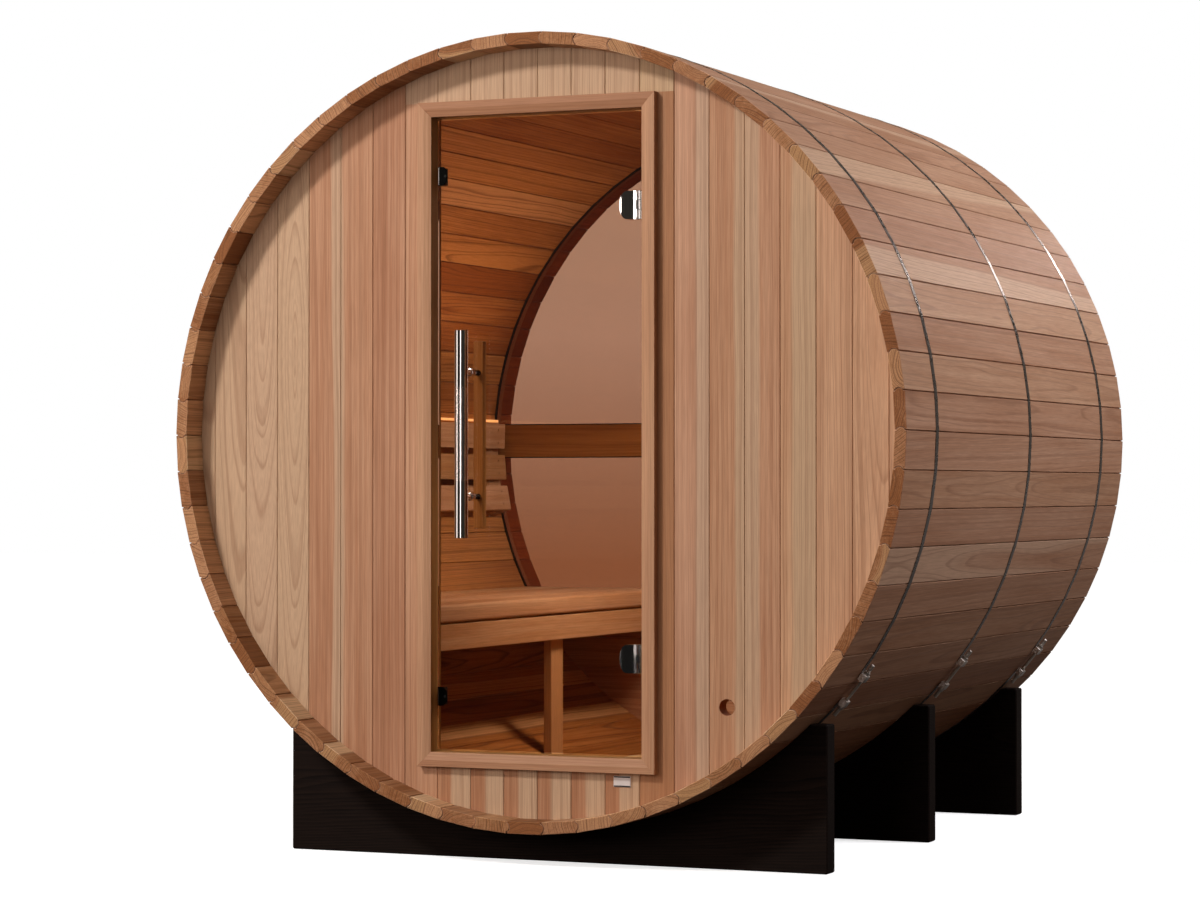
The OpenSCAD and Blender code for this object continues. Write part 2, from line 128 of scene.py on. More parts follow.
def board(stock, rings, local, log, sides=0, ends=1):
    """Adds one closed board to the stock. rings (sections, points, 3) is its outline at each section
    of its path, and local holds the same points across, through and along the grain. Quads join
    the sections, a flat face closes each end, and all are turned round if the volume comes out
    negative. Distance from the pith is the board's place across and through, less the pith's."""
    sections, points = rings.shape[:2]
    i = np.arange(sections * points).reshape(sections, points)
    j = np.roll(i, -1, 1)
    quads = np.stack([i[:-1], j[:-1], j[1:], i[1:]], -1).reshape(-1, 4)
    place = rings.reshape(-1, 3)
    off = place - place.mean(0)
    p, foot, cap = off[quads], off[i[0]], off[i[-1]]
    volume = np.sum(p[:, 0] * np.cross(p[:, 1], p[:, 2]) + p[:, 0] * np.cross(p[:, 2], p[:, 3]))
    volume += np.sum(cap[0] * np.cross(cap[1:-1], cap[2:])) - np.sum(foot[0] * np.cross(foot[1:-1], foot[2:]))
    faces = quads.tolist() + [i[0, ::-1].tolist(), i[-1].tolist()]
    if volume < 0:
        faces = [f[::-1] for f in faces]
    skin = np.zeros((sections - 1, points), int) + sides
    w = local.reshape(-1, 3)
    sawn = np.stack([w[:, 0] - log["pith"][0] + log["lean"][0] * w[:, 2],
                     w[:, 1] - log["pith"][1] + log["lean"][1] * w[:, 2],
                     w[:, 2] + log["start"]], 1)
    stock.append((place, faces, skin.ravel().tolist() + [ends, ends], sawn,
                  np.tile(log["tone"], (len(place), 1))))


def piece(name, stock, materials, body, slot, *cad_nodes, round_over=None):
    """Makes one object of the boards in the stock. Attribute log holds each point's place in its
    log in metres, and attribute tone the board's darkness, the radius where its sapwood starts,
    and its hue. Edges under round_over degrees are smooth."""
    places, faces, skins, logs, tones = zip(*stock)
    first = np.cumsum([0] + [len(p) for p in places[:-1]])
    mesh = bpy.data.meshes.new(name)
    mesh.from_pydata(np.concatenate(places).tolist(), [],
                     [[v + int(n) for v in f] for n, group in zip(first, faces) for f in group])
    mesh.polygons.foreach_set("material_index", sum(skins, []))
    for label, values in (("log", logs), ("tone", tones)):
        held = mesh.attributes.new(label, "FLOAT_VECTOR", "POINT")
        held.data.foreach_set("vector", np.concatenate(values).astype(np.float32).ravel())
    for made in materials:
        mesh.materials.append(made)
    if round_over:
        mesh.polygons.foreach_set("use_smooth", [True] * len(mesh.polygons))
        mesh.set_sharp_from_angle(angle=np.radians(round_over))
    mesh.validate()
    thing = bpy.data.objects.new(name, mesh)
    bpy.context.scene.collection.objects.link(thing)
    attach(thing, body)
    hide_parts(*cad_nodes)


def rgb(code):
    """An sRGB hex code such as B58A6B as linear red, green, blue and alpha."""
    c = np.array([int(code[i:i + 2], 16) / 255 for i in (0, 2, 4)])
    return (*np.where(c <= 0.04045, c / 12.92, ((c + 0.055) / 1.055) ** 2.4).tolist(), 1.0)


def add(tree, kind, *inputs, stops=(), **settings):
    """Adds one node with its settings. Its inputs are values or links, in the order of the sockets
    in use or named in one dictionary, and a node given as a link stands for its first output in
    use. stops are a ramp's places and colours."""
    made = tree.nodes.new("ShaderNode" + kind)
    for name, value in settings.items():
        setattr(made, name, value)
    named = inputs and isinstance(inputs[0], dict)
    sockets = [s for s in made.inputs if s.enabled]
    for key, value in inputs[0].items() if named else enumerate(inputs):
        socket = made.inputs[key] if named else sockets[key]
        if isinstance(value, bpy.types.Node):
            value = next(s for s in value.outputs if s.enabled)
        if isinstance(value, bpy.types.NodeSocket):
            tree.links.new(value, socket)
        else:
            socket.default_value = value
    for n, (place, colour) in enumerate(stops):
        stop = made.color_ramp.elements[n] if n < 2 else made.color_ramp.elements.new(place)
        stop.position, stop.color = place, colour if len(colour) == 4 else (*colour * 3, 1)
    return made


def material(name):
    """An empty material, and add for its node tree."""
    made = bpy.data.materials.new(name)
    made.use_nodes = True
    made.node_tree.nodes.clear()
    return made, partial(add, made.node_tree)


def figure(node, log, across, along, detail, roughness=0.5):
    """Noise drawn out along the grain: its waves a metre across the grain and along it."""
    drawn = node("VectorMath", log, (across, across, along), operation="MULTIPLY")
    return node("TexNoise", drawn, 1.0, detail, roughness)


def in_log(node, along, bend):
    """A point's place in its log, and its distance from the pith, bent by slow noise."""
    log = node("Attribute", attribute_name="log").outputs["Vector"]
    slow = figure(node, log, 9, along, 2.0)
    flat = node("VectorMath", log, (1, 1, 0), operation="MULTIPLY")
    straight = node("VectorMath", flat, operation="LENGTH")
    return log, node("Math", slow, bend, straight, operation="MULTIPLY_ADD")


def cedar(name, pale, deep, late, sap, ring=7.0, mark=0.36, rough=0.52, swing=1.0, pores=0.0, sheen=0.16):
    """Planed wood, not finished: satin where the grain is close and duller in the soft rings. Growth
    rings are distance from the pith, bent by slow noise, so flat-sawn faces show arches and
    quarter-sawn ones lines. ring is their spacing in mm: the real ones are 1 to 5 mm apart,
    and are drawn at about 7 so that they show. mark is how dark the latewood line gets, and
    swing how far the wood of one board is from the next."""
    made, node = material(name)
    log, radius = in_log(node, 1.1, 0.03)
    tone = node("Attribute", attribute_name="tone").outputs["Vector"]
    dark, sap_from, hue = node("SeparateXYZ", tone).outputs
    years = node("TexNoise", radius, 70.0, 2.0, noise_dimensions="1D")
    uneven = node("Math", years, 3.0, operation="MULTIPLY")
    count = node("Math", radius, 1000 / ring, uneven, operation="MULTIPLY_ADD")
    season = node("ValToRGB", node("Math", count, operation="FRACT"),
                  stops=[(0.0, (0.05,)), (1.0, (0.05,)), (0.55, (0.15,)), (0.84, (1.0,)), (0.93, (0.8,))])
    streak = figure(node, log, 120, 0.9, 4.0, 0.62)
    cloud = figure(node, log, 16, 1.9, 3.0)
    fibre = figure(node, log, 520, 14, 2.0)
    lean = node("Math", cloud, 1.1, node("Math", dark, swing, operation="MULTIPLY"), operation="MULTIPLY_ADD")
    lean = node("Math", streak, 1.3, lean, operation="MULTIPLY_ADD")
    heart = node("Mix", node("MapRange", lean, 0.7, 1.7), rgb(pale), rgb(deep), data_type="RGBA")
    edge = node("Math", node("Math", radius, sap_from, operation="SUBTRACT"), 130.0,
                operation="MULTIPLY", use_clamp=True)
    sappy = node("Mix", edge, heart, rgb(sap), data_type="RGBA")
    ringed = node("Mix", node("Math", season, mark, operation="MULTIPLY"), sappy, rgb(late), data_type="RGBA")
    fine = node("MapRange", fibre, 0.25, 0.75, 0.86, 1.1)
    green = node("Math", fine, node("MapRange", hue, 0, 1, 1.02, 0.97), operation="MULTIPLY")
    blue = node("Math", fine, node("MapRange", hue, 0, 1, 0.9, 1.04), operation="MULTIPLY")
    colour = node("VectorMath", ringed, node("CombineColor", fine, green, blue), operation="MULTIPLY")
    if pores:
        hole = node("MapRange", node("TexVoronoi", log, 420.0), 0.1, 0.55, 1 - pores, 1.0)
        colour = node("VectorMath", colour, hole, operation="MULTIPLY")
    height = node("Math", season, 0.35, fibre, operation="MULTIPLY_ADD")
    node("OutputMaterial", node("BsdfPrincipled", {
        "Base Color": colour, "Specular IOR Level": sheen,
        "Roughness": node("MapRange", height, 0.3, 1.1, rough + 0.1, rough - 0.08),
        "Normal": node("Bump", {"Height": height, "Distance": 0.0003, "Strength": 0.5})}))
    return made


stave_face = cedar("red_cedar_planed_stave", "C59C7E", "A87858", "80543A", "CBA688",
                   ring=6.0, mark=0.42, swing=0.32, sheen=0.3)
stave_end = cedar("red_cedar_end_grain", "BC8C66", "905C38", "56341E", "B68A62",
                  ring=5.0, mark=0.7, rough=0.7, swing=1.4, pores=0.25)
# the staves' faces inside the cabin: a more orange copy of the stave wood, with the warm cabin light painted in
stave_inside_painted_warm_light = cedar("red_cedar_inside_face", "CC9A5E", "98602E", "5E3416", "DDB482",
                     ring=6.0, mark=0.6, swing=1.5)
# the staves' inside faces behind the rear wall: a darker, redder copy of the stave wood, painted shade
stave_rim_painted_shade = cedar("red_cedar_shaded_rim", "B8683C", "94502C", "6A3418", "B8683C", ring=6.0, mark=0.5)
# the staves' inside faces in front of the front wall: a copy of the stave wood in paler and darker tones, painted
# light and shade
stave_lip_painted_light_and_shade = cedar("red_cedar_front_overhang", "D8AA82", "90603C", "5E3A24", "DDBB96",
                  ring=6.0, mark=0.45, swing=1.6)


def stave_outline():
    """One stave across its length: s runs counter-clockwise round the barrel and r outwards. The
    bead and the cove are arcs about points set back from the joint by radius less rise."""
    side = np.array([np.sin(step / 2), np.cos(step / 2)])          # along the joint, outwards
    out = np.array([np.cos(step / 2), -np.sin(step / 2)])          # square to it, out of the stave
    rise, chord = 6 * mm, 0.36 * stave_t
    bead_r = (chord ** 2 + rise ** 2) / (2 * rise)
    gap, fit = 0.9 * mm, 1.0 * mm
    arris, bevel, slant = 1.2 * mm, 1.0 * mm, 3.2 * mm             # inside; outside, wide and deep
    half_in, half_out = inner * np.tan(step / 2) - gap, outer * np.tan(step / 2) - gap
    middle = (outer - stave_t / 2) / np.cos(step / 2) * side
    back = bead_r - rise
    turn = np.arccos((back - gap) / bead_r) * np.linspace(-1, 1, 9)[:, None]
    bead = middle - back * out + bead_r * (out * np.cos(turn) + side * np.sin(turn))
    turn = np.arccos((back + gap) / (bead_r + fit)) * np.linspace(1, -1, 9)[:, None]
    cove = (middle + back * out + (bead_r + fit) * (side * np.sin(turn) - out * np.cos(turn))) * [-1, 1]
    slope = (half_out - half_in) / stave_t
    right = [[half_in - arris, inner], [half_in + slope * arris, inner + arris]]
    right_top = [[half_out - slope * slant, outer - slant], [half_out - bevel, outer]]
    left_top = [[-half_out + bevel, outer], [-half_out + slope * slant, outer - slant]]
    left = [[-half_in - slope * arris, inner + arris], [-half_in + arris, inner]]
    return np.concatenate([right, bead, right_top, left_top, cove, left])


def stave_rings(outline, start, end, turn, sink):
    """The outline at every section along the stave, its inner points pushed out to the groove's
    floor where an end wall sits, and turned to its place round the barrel."""
    bite, slip, jump = 1.1 * mm, 0.3 * mm, 0.2 * mm
    small = inset(outline, bite)
    deep = np.stack([outline[:, 0], np.maximum(outline[:, 1], croze)], 1)
    y = [start, start + bite]
    for face in (wall_front, rear_in):
        far = face + wall_back - wall_front + slip
        y += [face - slip, face - slip + jump, far - jump, far]
    y = np.array(y + [end - bite, end])
    drawn = np.stack([small, outline] + [outline, deep, deep, outline] * 2 + [outline, small])
    s, r = drawn[..., 0], drawn[..., 1] - sink
    y = np.broadcast_to(y[:, None], s.shape)
    return round_barrel(s, r, y, turn), np.stack([s, r - outer + stave_t / 2, y], -1)


staves = []
outline = stave_outline()
# the sides of the outline towards the cabin
inwards = np.maximum(outline[:, 1], np.roll(outline[:, 1], -1)) < inner + 2 * mm
# before the front wall, between the end walls and behind the rear wall, the inside faces take copies of the stave
# wood with painted light and shade, painted warm light and painted shade
stave_skin = np.array([4] * 2 + [2] * 7 + [3] * 2)     # their wood before, between and behind the end walls
for k in range(stave_count):
    ends = chance.uniform(0, 2.6, 2) * mm
    rings, local = stave_rings(outline, -half_l + ends[0], half_l - ends[1], (k + 0.5) * step,
                               chance.uniform(0, 0.35) * mm)
    sap = chance.uniform(-6, 30) * mm if chance.random() < 0.16 else None
    log = log_of(0.5, chance.normal(0, 0.33), sap, hue=chance.uniform(0.4, 0.7))
    board(staves, rings, local, log, inwards * stave_skin[:, None])
piece("staves", staves, [stave_face, stave_end, stave_inside_painted_warm_light, stave_rim_painted_shade, stave_lip_painted_light_and_shade], "sauna", "staves",
      *stave_nodes)

# ---- Front wall --------------------------------------------------------------
# Upright cedar boards, 85 mm wide with small V joints, are notched round the door
# frame and held by the groove in the staves. A round vent hole is bored low on the right.

pitch, seam = 85 * mm, 0.5 * mm
wall_mid = (wall_front + wall_back) / 2
frame_low, frame_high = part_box("door_sill")[0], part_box("door_head")[1]
frame_x = frame_high.x
vent = next(m for m in frame["record"]["mounts"] if m["name"] == "vent_hole")
vent_x, vent_z = vent["pos_m"][0], vent["pos_m"][2]
vent_r = vent["dims"]["r_mm"] * mm
wall_board = cedar("red_cedar_planed_wall_board", "C89F80", "A47456", "7E5238", "BC9D81",
                   ring=7.5, mark=0.38, swing=0.7)


def disc_edge(x):
    """Half the height of the end wall at a distance x from its middle."""
    return np.sqrt(np.maximum(disc_r ** 2 - x ** 2, 0))


def upright(stock, x0, x1, low, high, log, middle, left=1.4 * mm, right=1.4 * mm):
    """One upright board between x0 and x1: a rectangle with broken corners, left and right wide in
    plan, is carried up from low to high. Where one of these is None, it ends on the circle."""
    back, points = 1.2 * mm, 8
    face_x = np.linspace(x0 + left, x1 - right, points)
    rear_x = np.linspace(x1 - back, x0 + back, points)
    plan = np.concatenate([
        [[x0, wall_front + 1.2 * left]] if left else np.zeros((0, 2)),
        np.stack([face_x, np.full(points, wall_front)], 1),
        [[x1, wall_front + 1.2 * right]] if right else np.zeros((0, 2)),
        [[x1, wall_back - back]],
        np.stack([rear_x, np.full(points, wall_back)], 1),
        [[x0, wall_back - back]]])
    reach = disc_edge(plan[:, 0])
    z = np.stack([axis_z - reach if low is None else 0 * reach + low,
                  axis_z + reach if high is None else 0 * reach + high])
    rings = np.stack([np.broadcast_to(plan[:, 0], z.shape), np.broadcast_to(plan[:, 1], z.shape), z], -1)
    board(stock, rings, rings - [middle, wall_mid, 0], log)


def vent_board(stock, x0, x1, log, middle):
    """The square of board round the vent hole. One parameter runs round the hole, and the other
    goes out across the back, over the edge, in across the front and through the bore."""
    n, arris, back = 24, 1.4 * mm, 1.2 * mm
    half = np.array([(x1 - x0) / 2, pitch / 2])
    t = np.arange(4 * n) / n
    corner = np.array([[1, -1], [1, 1], [-1, 1], [-1, -1], [1, -1]])
    lap = np.floor(t).astype(int)
    square = corner[lap] + (corner[lap + 1] - corner[lap]) * (t - lap)[:, None]
    turn = np.arctan2(square[:, 1] * half[1], square[:, 0] * half[0])
    hole = vent_r * np.stack([np.cos(turn), np.sin(turn)], 1)
    wide, face = square * half, square * (half - [arris, 0])
    loop = [(hole, wall_back), (wide - square * [back, 0], wall_back), (wide, wall_back - back),
            (wide, wall_front + 1.2 * arris), (face, wall_front), (hole * 1.04, wall_front),
            (hole, wall_front + 0.7 * mm)]
    rings = np.stack([np.stack([p[:, 0] + (x0 + x1) / 2, np.full(len(p), y), p[:, 1] + vent_z], 1)
                      for p, y in loop], 1)
    rings = np.concatenate([rings, rings[:1]])          # the loop of sections closes on itself
    # the bore of the hole takes the darker, redder rim wood: painted shade inside the hole
    board(stock, rings, rings - [middle, wall_mid, 0], log, sides=[0] * 6 + [2])
    place, faces, skins, sawn, tones = stock[-1]
    stock[-1] = (place, faces[:-2], skins[:-2], sawn, tones)


# Boards beside the door, numbered from the middle: side of the pith in degrees, darkness, how
# far from the board's middle the sapwood starts in mm, slope of the grain, and hue.
chosen = {
    -11: (80, 0.4, -90, 0.02, 0.5), -10: (75, 0.0, -90, 0.03, 0.5), -9: (92, 0.0, -90, 0.065, 0.6),
    -8: (88, 0.0, -90, 0.04, 0.5), -7: (184, 0.25, 33, 0.008, 0.6), -6: (2, 0.25, 46, 0.006, 0.6),
    -5: (182, 0.4, None, 0.004, 0.7), -4: (180, 0.1, None, 0.004, 0.6), 3: (180, 0.9, None, 0.004, 0.2),
    4: (178, -0.1, 22, 0.004, 0.8), 5: (182, 0.1, 30, 0.01, 0.5), 6: (0, 0.0, 18, 0.01, 0.6),
    7: (180, -0.15, -8, 0.005, 0.4), 8: (3, -0.5, None, 0.008, 0.5), 9: (84, -0.6, None, 0.04, 0.5),
    10: (90, -0.2, None, 0.03, 0.5)}
rest_of_boards = (180, 0.65, 6, 0.004, 0.5)
fit = 0.3 * mm
wall = []
for n in range(-11, 11):
    x0 = max(n * pitch + seam / 2, -disc_r * 0.9995)
    x1 = min((n + 1) * pitch - seam / 2, disc_r * 0.9995)
    middle = (n + 0.5) * pitch
    side, dark, sap, slope, hue = chosen.get(n, rest_of_boards)
    log = log_of(0, dark, sap if sap is None else sap * mm, slope / 3, side, hue)
    log["lean"] = log["lean"] + slope * np.array([0, 1])
    over, under = frame_high.z + fit, frame_low.z - fit
    if x0 < vent_x < x1:
        upright(wall, x0, x1, None, vent_z - pitch / 2, log, middle)
        vent_board(wall, x0, x1, log, middle)
        upright(wall, x0, x1, vent_z + pitch / 2, None, log, middle)
    elif x1 < -frame_x or x0 > frame_x:
        upright(wall, x0, x1, None, None, log, middle)
    else:
        upright(wall, x0, x1, over, None, {**log, "tone": (dark, 0.0, hue)}, middle)       # all sapwood
        upright(wall, x0, x1, None, under, log, middle)
        if x0 < -frame_x:
            upright(wall, x0, -frame_x - fit, under, over, log, middle, right=0)
        if x1 > frame_x:
            upright(wall, frame_x + fit, x1, under, over, log, middle, left=0)
piece("front_wall", wall, [wall_board, stave_end, stave_rim_painted_shade], "sauna", "wall_boards",
      "front_wall_left", "front_wall_right", "front_wall_head", "front_wall_foot")

# ---- Door frame --------------------------------------------------------------
# Four cedar members with mitred corners line the doorway and stand 20 mm in front of
# the boards. Their front is flat outside and slopes in to the doorway.

frame_w = 34 * mm
trim = cedar("red_cedar_planed_trim", "C59B7E", "A6785E", "8A5B40", "CDAC8E", ring=5.0, mark=0.36, rough=0.48)
# the reveal: a darker, olive copy of the trim wood, painted shade
painted_shade_reveal = cedar("red_cedar_door_reveal", "B08856", "865E34", "5E4020", "B08856", ring=5.0, mark=0.4)


def frame_member(stock, corner, along, inwards, length, log):
    """A mitred member: its section (distance in from the outer edge, depth) is carried along one
    side of the frame, and starts and stops as far from the corners as each point is inwards."""
    a = np.array([0, 0.4, 1.2, 15.4, 16.6, 33, 33.7, 34, 34, 33, 1, 0]) * mm
    y = np.array([1.2, 0.4, 0, 0, 0.3, 5.7, 6.1, 6.9, 61, 62, 62, 61]) * mm
    gap = 0.15 * mm
    reach = np.stack([a + gap, length / 2 + 0 * a, length - a - gap])
    rings = np.array(corner, float) + reach[..., None] * np.array(along) + a[:, None] * np.array(inwards)
    rings[..., 1] = frame_low.y + y
    local = np.stack([np.broadcast_to(a - frame_w / 2, reach.shape),
                      np.broadcast_to(y - 31 * mm, reach.shape), reach], -1)
    # edge 7 of the section, the inner face of the reveal, takes the darker reveal wood: painted shade
    board(stock, rings, local, log, sides=[0] * 7 + [1] + [0] * 4, ends=0)


casing = []
wide, tall = 2 * frame_x, frame_high.z - frame_low.z
for corner, along, inwards, length, dark in (
        ((-frame_x, 0, frame_low.z), (1, 0, 0), (0, 0, 1), wide, 0.2),
        ((frame_x, 0, frame_high.z), (-1, 0, 0), (0, 0, -1), wide, 0.8),
        ((-frame_x, 0, frame_high.z), (0, 0, -1), (1, 0, 0), tall, -0.05),
        ((frame_x, 0, frame_low.z), (0, 0, 1), (-1, 0, 0), tall, 0.1)):
    frame_member(casing, corner, along, inwards, length, log_of(0.0, dark, None, 0.002, 178, 0.25))
piece("door_frame", casing, [trim, painted_shade_reveal], "sauna", "frame_wood",
      "door_sill", "door_head", "door_jamb_left", "door_jamb_right")

# ---- Door glass --------------------------------------------------------------
# One pane of 8 mm toughened glass, tinted bronze, with polished edges. It has no
# frame, and hangs on two clamped hinges.

glass_y, glass_back = (corner.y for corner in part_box("door_glass"))


def tinted_glass(name, tint):
    """Toughened bronze glass: smooth and clear, with a brown tint that a second pane deepens. Light
    from the lamps reaches through it by the same tint, so that what is behind it is lit."""
    made, node = material(name)
    film = node("TexNoise", node("TexCoord").outputs["Object"], 9.0, 5.0)
    faint = tuple(0.97 * c for c in rgb(tint)[:3]) + (1.0,)
    pane = node("BsdfPrincipled", {
        "Base Color": node("Mix", film, rgb(tint), faint, data_type="RGBA"),
        "Roughness": 0.0, "IOR": 1.45, "Transmission Weight": 1.0})
    # light crosses two faces of a pane, so each face passes the square root of the tint
    root = tuple(np.sqrt(rgb(tint)[:3]).tolist()) + (1.0,)
    path = node("LightPath").outputs
    passing = node("Math", path["Is Shadow Ray"], path["Is Diffuse Ray"], operation="MAXIMUM")
    node("OutputMaterial", node("MixShader", passing, pane, node("BsdfTransparent", root)))
    return made


def restyled(name, made):
    """Gives a CAD node another material."""
    nodes[name].data.materials.clear()
    nodes[name].data.materials.append(made)


bronze_glass = tinted_glass("bronze_toughened_glass", "D3B6A3")
restyled("door_glass", bronze_glass)

# ---- Handle ------------------------------------------------------------------
# Outside, a stainless steel tube with a brushed grip and mirror-polished ends stands
# on two posts. Its bolts go through the glass into a flat wooden bar on the inside.


def steel(name, base, rough, lines, run, smudge=0.08):
    """Steel. Mirror-polished steel shows sharp dark and bright bands with faint wipe marks, and
    brushed steel has lines that run one way, lines deep, with run waves a metre along X, Y and Z.
    They are really about 0.05 mm apart, and are drawn at 0.8 mm or more so that they show."""
    made, node = material(name)
    place = node("TexCoord").outputs["Object"]
    brush = node("TexNoise", node("VectorMath", place, run, operation="MULTIPLY"), 1.0, 3.0)
    wipe = node("TexNoise", place, 45.0, 4.0, 0.65)
    shade = node("MapRange", brush, 0.3, 0.7, 1 - lines, 1.0)
    node("OutputMaterial", node("BsdfPrincipled", {
        "Base Color": node("VectorMath", rgb(base)[:3], shade, operation="MULTIPLY"), "Metallic": 1.0,
        "Roughness": node("MapRange", wipe, 0.3, 0.7, rough, rough + smudge),
        "Normal": node("Bump", {"Height": brush, "Distance": 0.0001, "Strength": lines})}))
    return made


def turned(stock, start, end, radii, places, sides=0, around=32):
    """A turned piece: a circle is carried from start to end, with the given radius at each place
    along the way, where 0 is the start and 1 the end, and closed flat at both ends."""
    start, end = np.array(start, float), np.array(end, float)
    run = (end - start) / np.linalg.norm(end - start)
    side = np.cross(run, [0.0, 0.0, 1.0] if abs(run[2]) < 0.9 else [1.0, 0.0, 0.0])
    side /= np.linalg.norm(side)
    turn = np.linspace(0, 2 * np.pi, around, endpoint=False)[:, None]
    circle = side * np.cos(turn) + np.cross(run, side) * np.sin(turn)
    centre = start + (end - start) * np.array(places, float)[:, None]
    rings = centre[:, None] + np.array(radii, float)[:, None, None] * circle
    board(stock, rings, rings - start, plain, sides=np.reshape(sides, (-1, 1)), ends=np.ravel(sides)[0])


plain = {"pith": (0, 0), "lean": (0, 0), "start": 0, "tone": (0, 9, 0)}      # what isn't wood
mirror_steel = steel("mirror_polished_steel", "D9D7D4", 0.03, 0.03, (300, 300, 300), 0.03)
brushed_steel = steel("brushed_stainless_steel", "F4EAE4", 0.2, 0.2, (600, 600, 8))
tube_low, tube_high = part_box("handle_outer")
handle_x = (tube_low.x + tube_high.x) / 2
tube_r = (tube_high.x - tube_low.x) / 2
tube_y = tube_low.y + tube_r
tube_l = tube_high.z - tube_low.z
post_step = 288 * mm
post_zs = [(tube_low.z + tube_high.z + way * post_step) / 2 for way in (-1, 1)]
grip = 108 * mm / tube_l                 # half the brushed length, as a share of the tube
arris, groove = 1.2 * mm, 0.4 * mm

tube = []
half = [grip - 0.001, grip, grip + 0.001, 0.5 - arris / tube_l, 0.5]
radii = [tube_r, tube_r - groove, tube_r, tube_r, tube_r - arris]
turned(tube, (handle_x, tube_y, tube_low.z), (handle_x, tube_y, tube_high.z), radii[::-1] + radii,
       [0.5 - h for h in half[::-1]] + [0.5 + h for h in half], sides=[0, 0, 0, 1, 1, 1, 0, 0, 0], around=48)
for z in post_zs:
    turned(tube, (handle_x, tube_y + 4 * mm, z), (handle_x, glass_y, z),
           np.array([7, 7, 9.4, 10.2, 10.2, 9]) * mm, [0, 0.74, 0.75, 0.78, 0.97, 1], sides=1)
    turned(tube, (handle_x, glass_y - 0.2 * mm, z), (handle_x, glass_back + 12 * mm, z), [5 * mm] * 2, [0, 1])
piece("handle_tube", tube, [mirror_steel, brushed_steel], "door", "polished_steel", "handle_outer",
      round_over=35)


def rounded(x0, x1, y0, y1, r, around=3):
    """A rectangle with round corners of radius r, as a closed outline."""
    turn = np.linspace(0, np.pi / 2, around)
    turn = np.concatenate([turn + q * np.pi / 2 for q in range(4)])
    cx = np.repeat([x1 - r, x0 + r, x0 + r, x1 - r], around)
    cy = np.repeat([y1 - r, y1 - r, y0 + r, y0 + r], around)
    return np.stack([cx + r * np.cos(turn), cy + r * np.sin(turn)], 1)


def plank(stock, shape, low, high, axis, log, arris=1.2, sides=0, ends=1):
    """A straight plank: its closed outline in the two other axes is carried along the axis from low
    to high, its last arris mm narrowing. Low and high may differ from point to point."""
    low, high = np.broadcast_to(low, len(shape)), np.broadcast_to(high, len(shape))
    if arris:
        drawn, run = narrowed(shape, arris * mm, low, high)
    else:
        drawn, run = np.stack([shape, shape]), np.stack([low, high])
    parts = [drawn[..., 0], drawn[..., 1]]
    parts.insert(axis, run)
    size = shape.max(0) - shape.min(0)
    off = drawn - (shape.max(0) + shape.min(0)) / 2
    wide = 0 if size[0] >= size[1] else 1
    local = np.stack([off[..., wide], off[..., 1 - wide], run], -1)
    board(stock, np.stack(parts, -1), local, log, sides, ends)


oiled_bar = cedar("oiled_light_hardwood", "D2AC72", "AA8250", "7E5A30", "DDBE8A", ring=4.0, rough=0.4)
black_steel = steel("blackened_steel", "121110", 0.35, 0.2, (400, 400, 400))
bar_low, bar_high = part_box("handle_inner")
bar_y = bar_high.y - 20 * mm
bar = []
plank(bar, rounded(bar_low.x, bar_high.x, bar_y, bar_high.y, 2.5 * mm), bar_low.z, bar_high.z, 2,
      log_of(0, 0.1))
for z in post_zs:
    turned(bar, (handle_x, glass_back, z), (handle_x, bar_y + 1 * mm, z),
           np.array([8, 8, 6.5, 6.5, 7.5]) * mm, [0, 0.12, 0.16, 0.9, 1], sides=1)
piece("handle_bar", bar, [oiled_bar, black_steel], "door", "dark_wood", "handle_inner", round_over=35)

# ---- Hinges and catches --------------------------------------------------------
# Two chromed brass glass hinges clamp the pane between domed covers and turn on a
# pin at the right jamb. Two small strike plates at its left edge meet magnets.

chrome = steel("polished_chrome", "E2E1DF", 0.04, 0.03, (300, 300, 300), 0.04)
plate_low, plate_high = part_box("door_hinge_leaves")
leaf_low, leaf_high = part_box("jamb_hinge_leaves")
hinge_h = 65 * mm
pin_x, pin_y = frame["joints"][0]["pos_m"][:2]
leaf_x = pin_x - 6.8 * mm
hinge_zs = (leaf_low.z + hinge_h / 2, leaf_high.z - hinge_h / 2)


def cover(stock, z, face, seat):
    """A hinge's cover plate. Its end away from the pin is rounded, as half an ellipse, and its face is
    domed from side to side: it falls back by the square of the distance from its middle."""
    t = np.radians(84) * np.linspace(-1, 1, 15)[:, None]
    left = plate_low.x + 4 * mm + 0.6 * hinge_h / 2 * (1 - np.cos(t))
    x = left + (leaf_x - left) * np.linspace(0, 1, 13)
    off = (x - (plate_low.x + leaf_x) / 2) / ((leaf_x - plate_low.x) / 2)
    y = face + 4.2 * mm * np.sign(seat - face) * off ** 2
    edge = np.full((15, 2), seat)
    rings = np.stack([np.concatenate([x, x[:, -1:], x[:, :1]], 1), np.concatenate([y, edge], 1),
                      np.broadcast_to(z + hinge_h / 2 * np.sin(t), (15, 15))], -1)
    board(stock, rings, rings, plain, 0, 0)


def knuckle(stock, low, high):
    """A length of the hinge's barrel, round its pin."""
    turned(stock, (pin_x, pin_y, low), (pin_x, pin_y, high), np.array([5.5, 6, 6, 5.5]) * mm,
           [0, 0.03, 0.97, 1])


def screw(stock, x, y, z, rise):
    """A round screw head that stands up by rise along Y."""
    turned(stock, (x, y, z), (x, y + rise, z), [3.2 * mm, 3.6 * mm], [0, 1], 1)


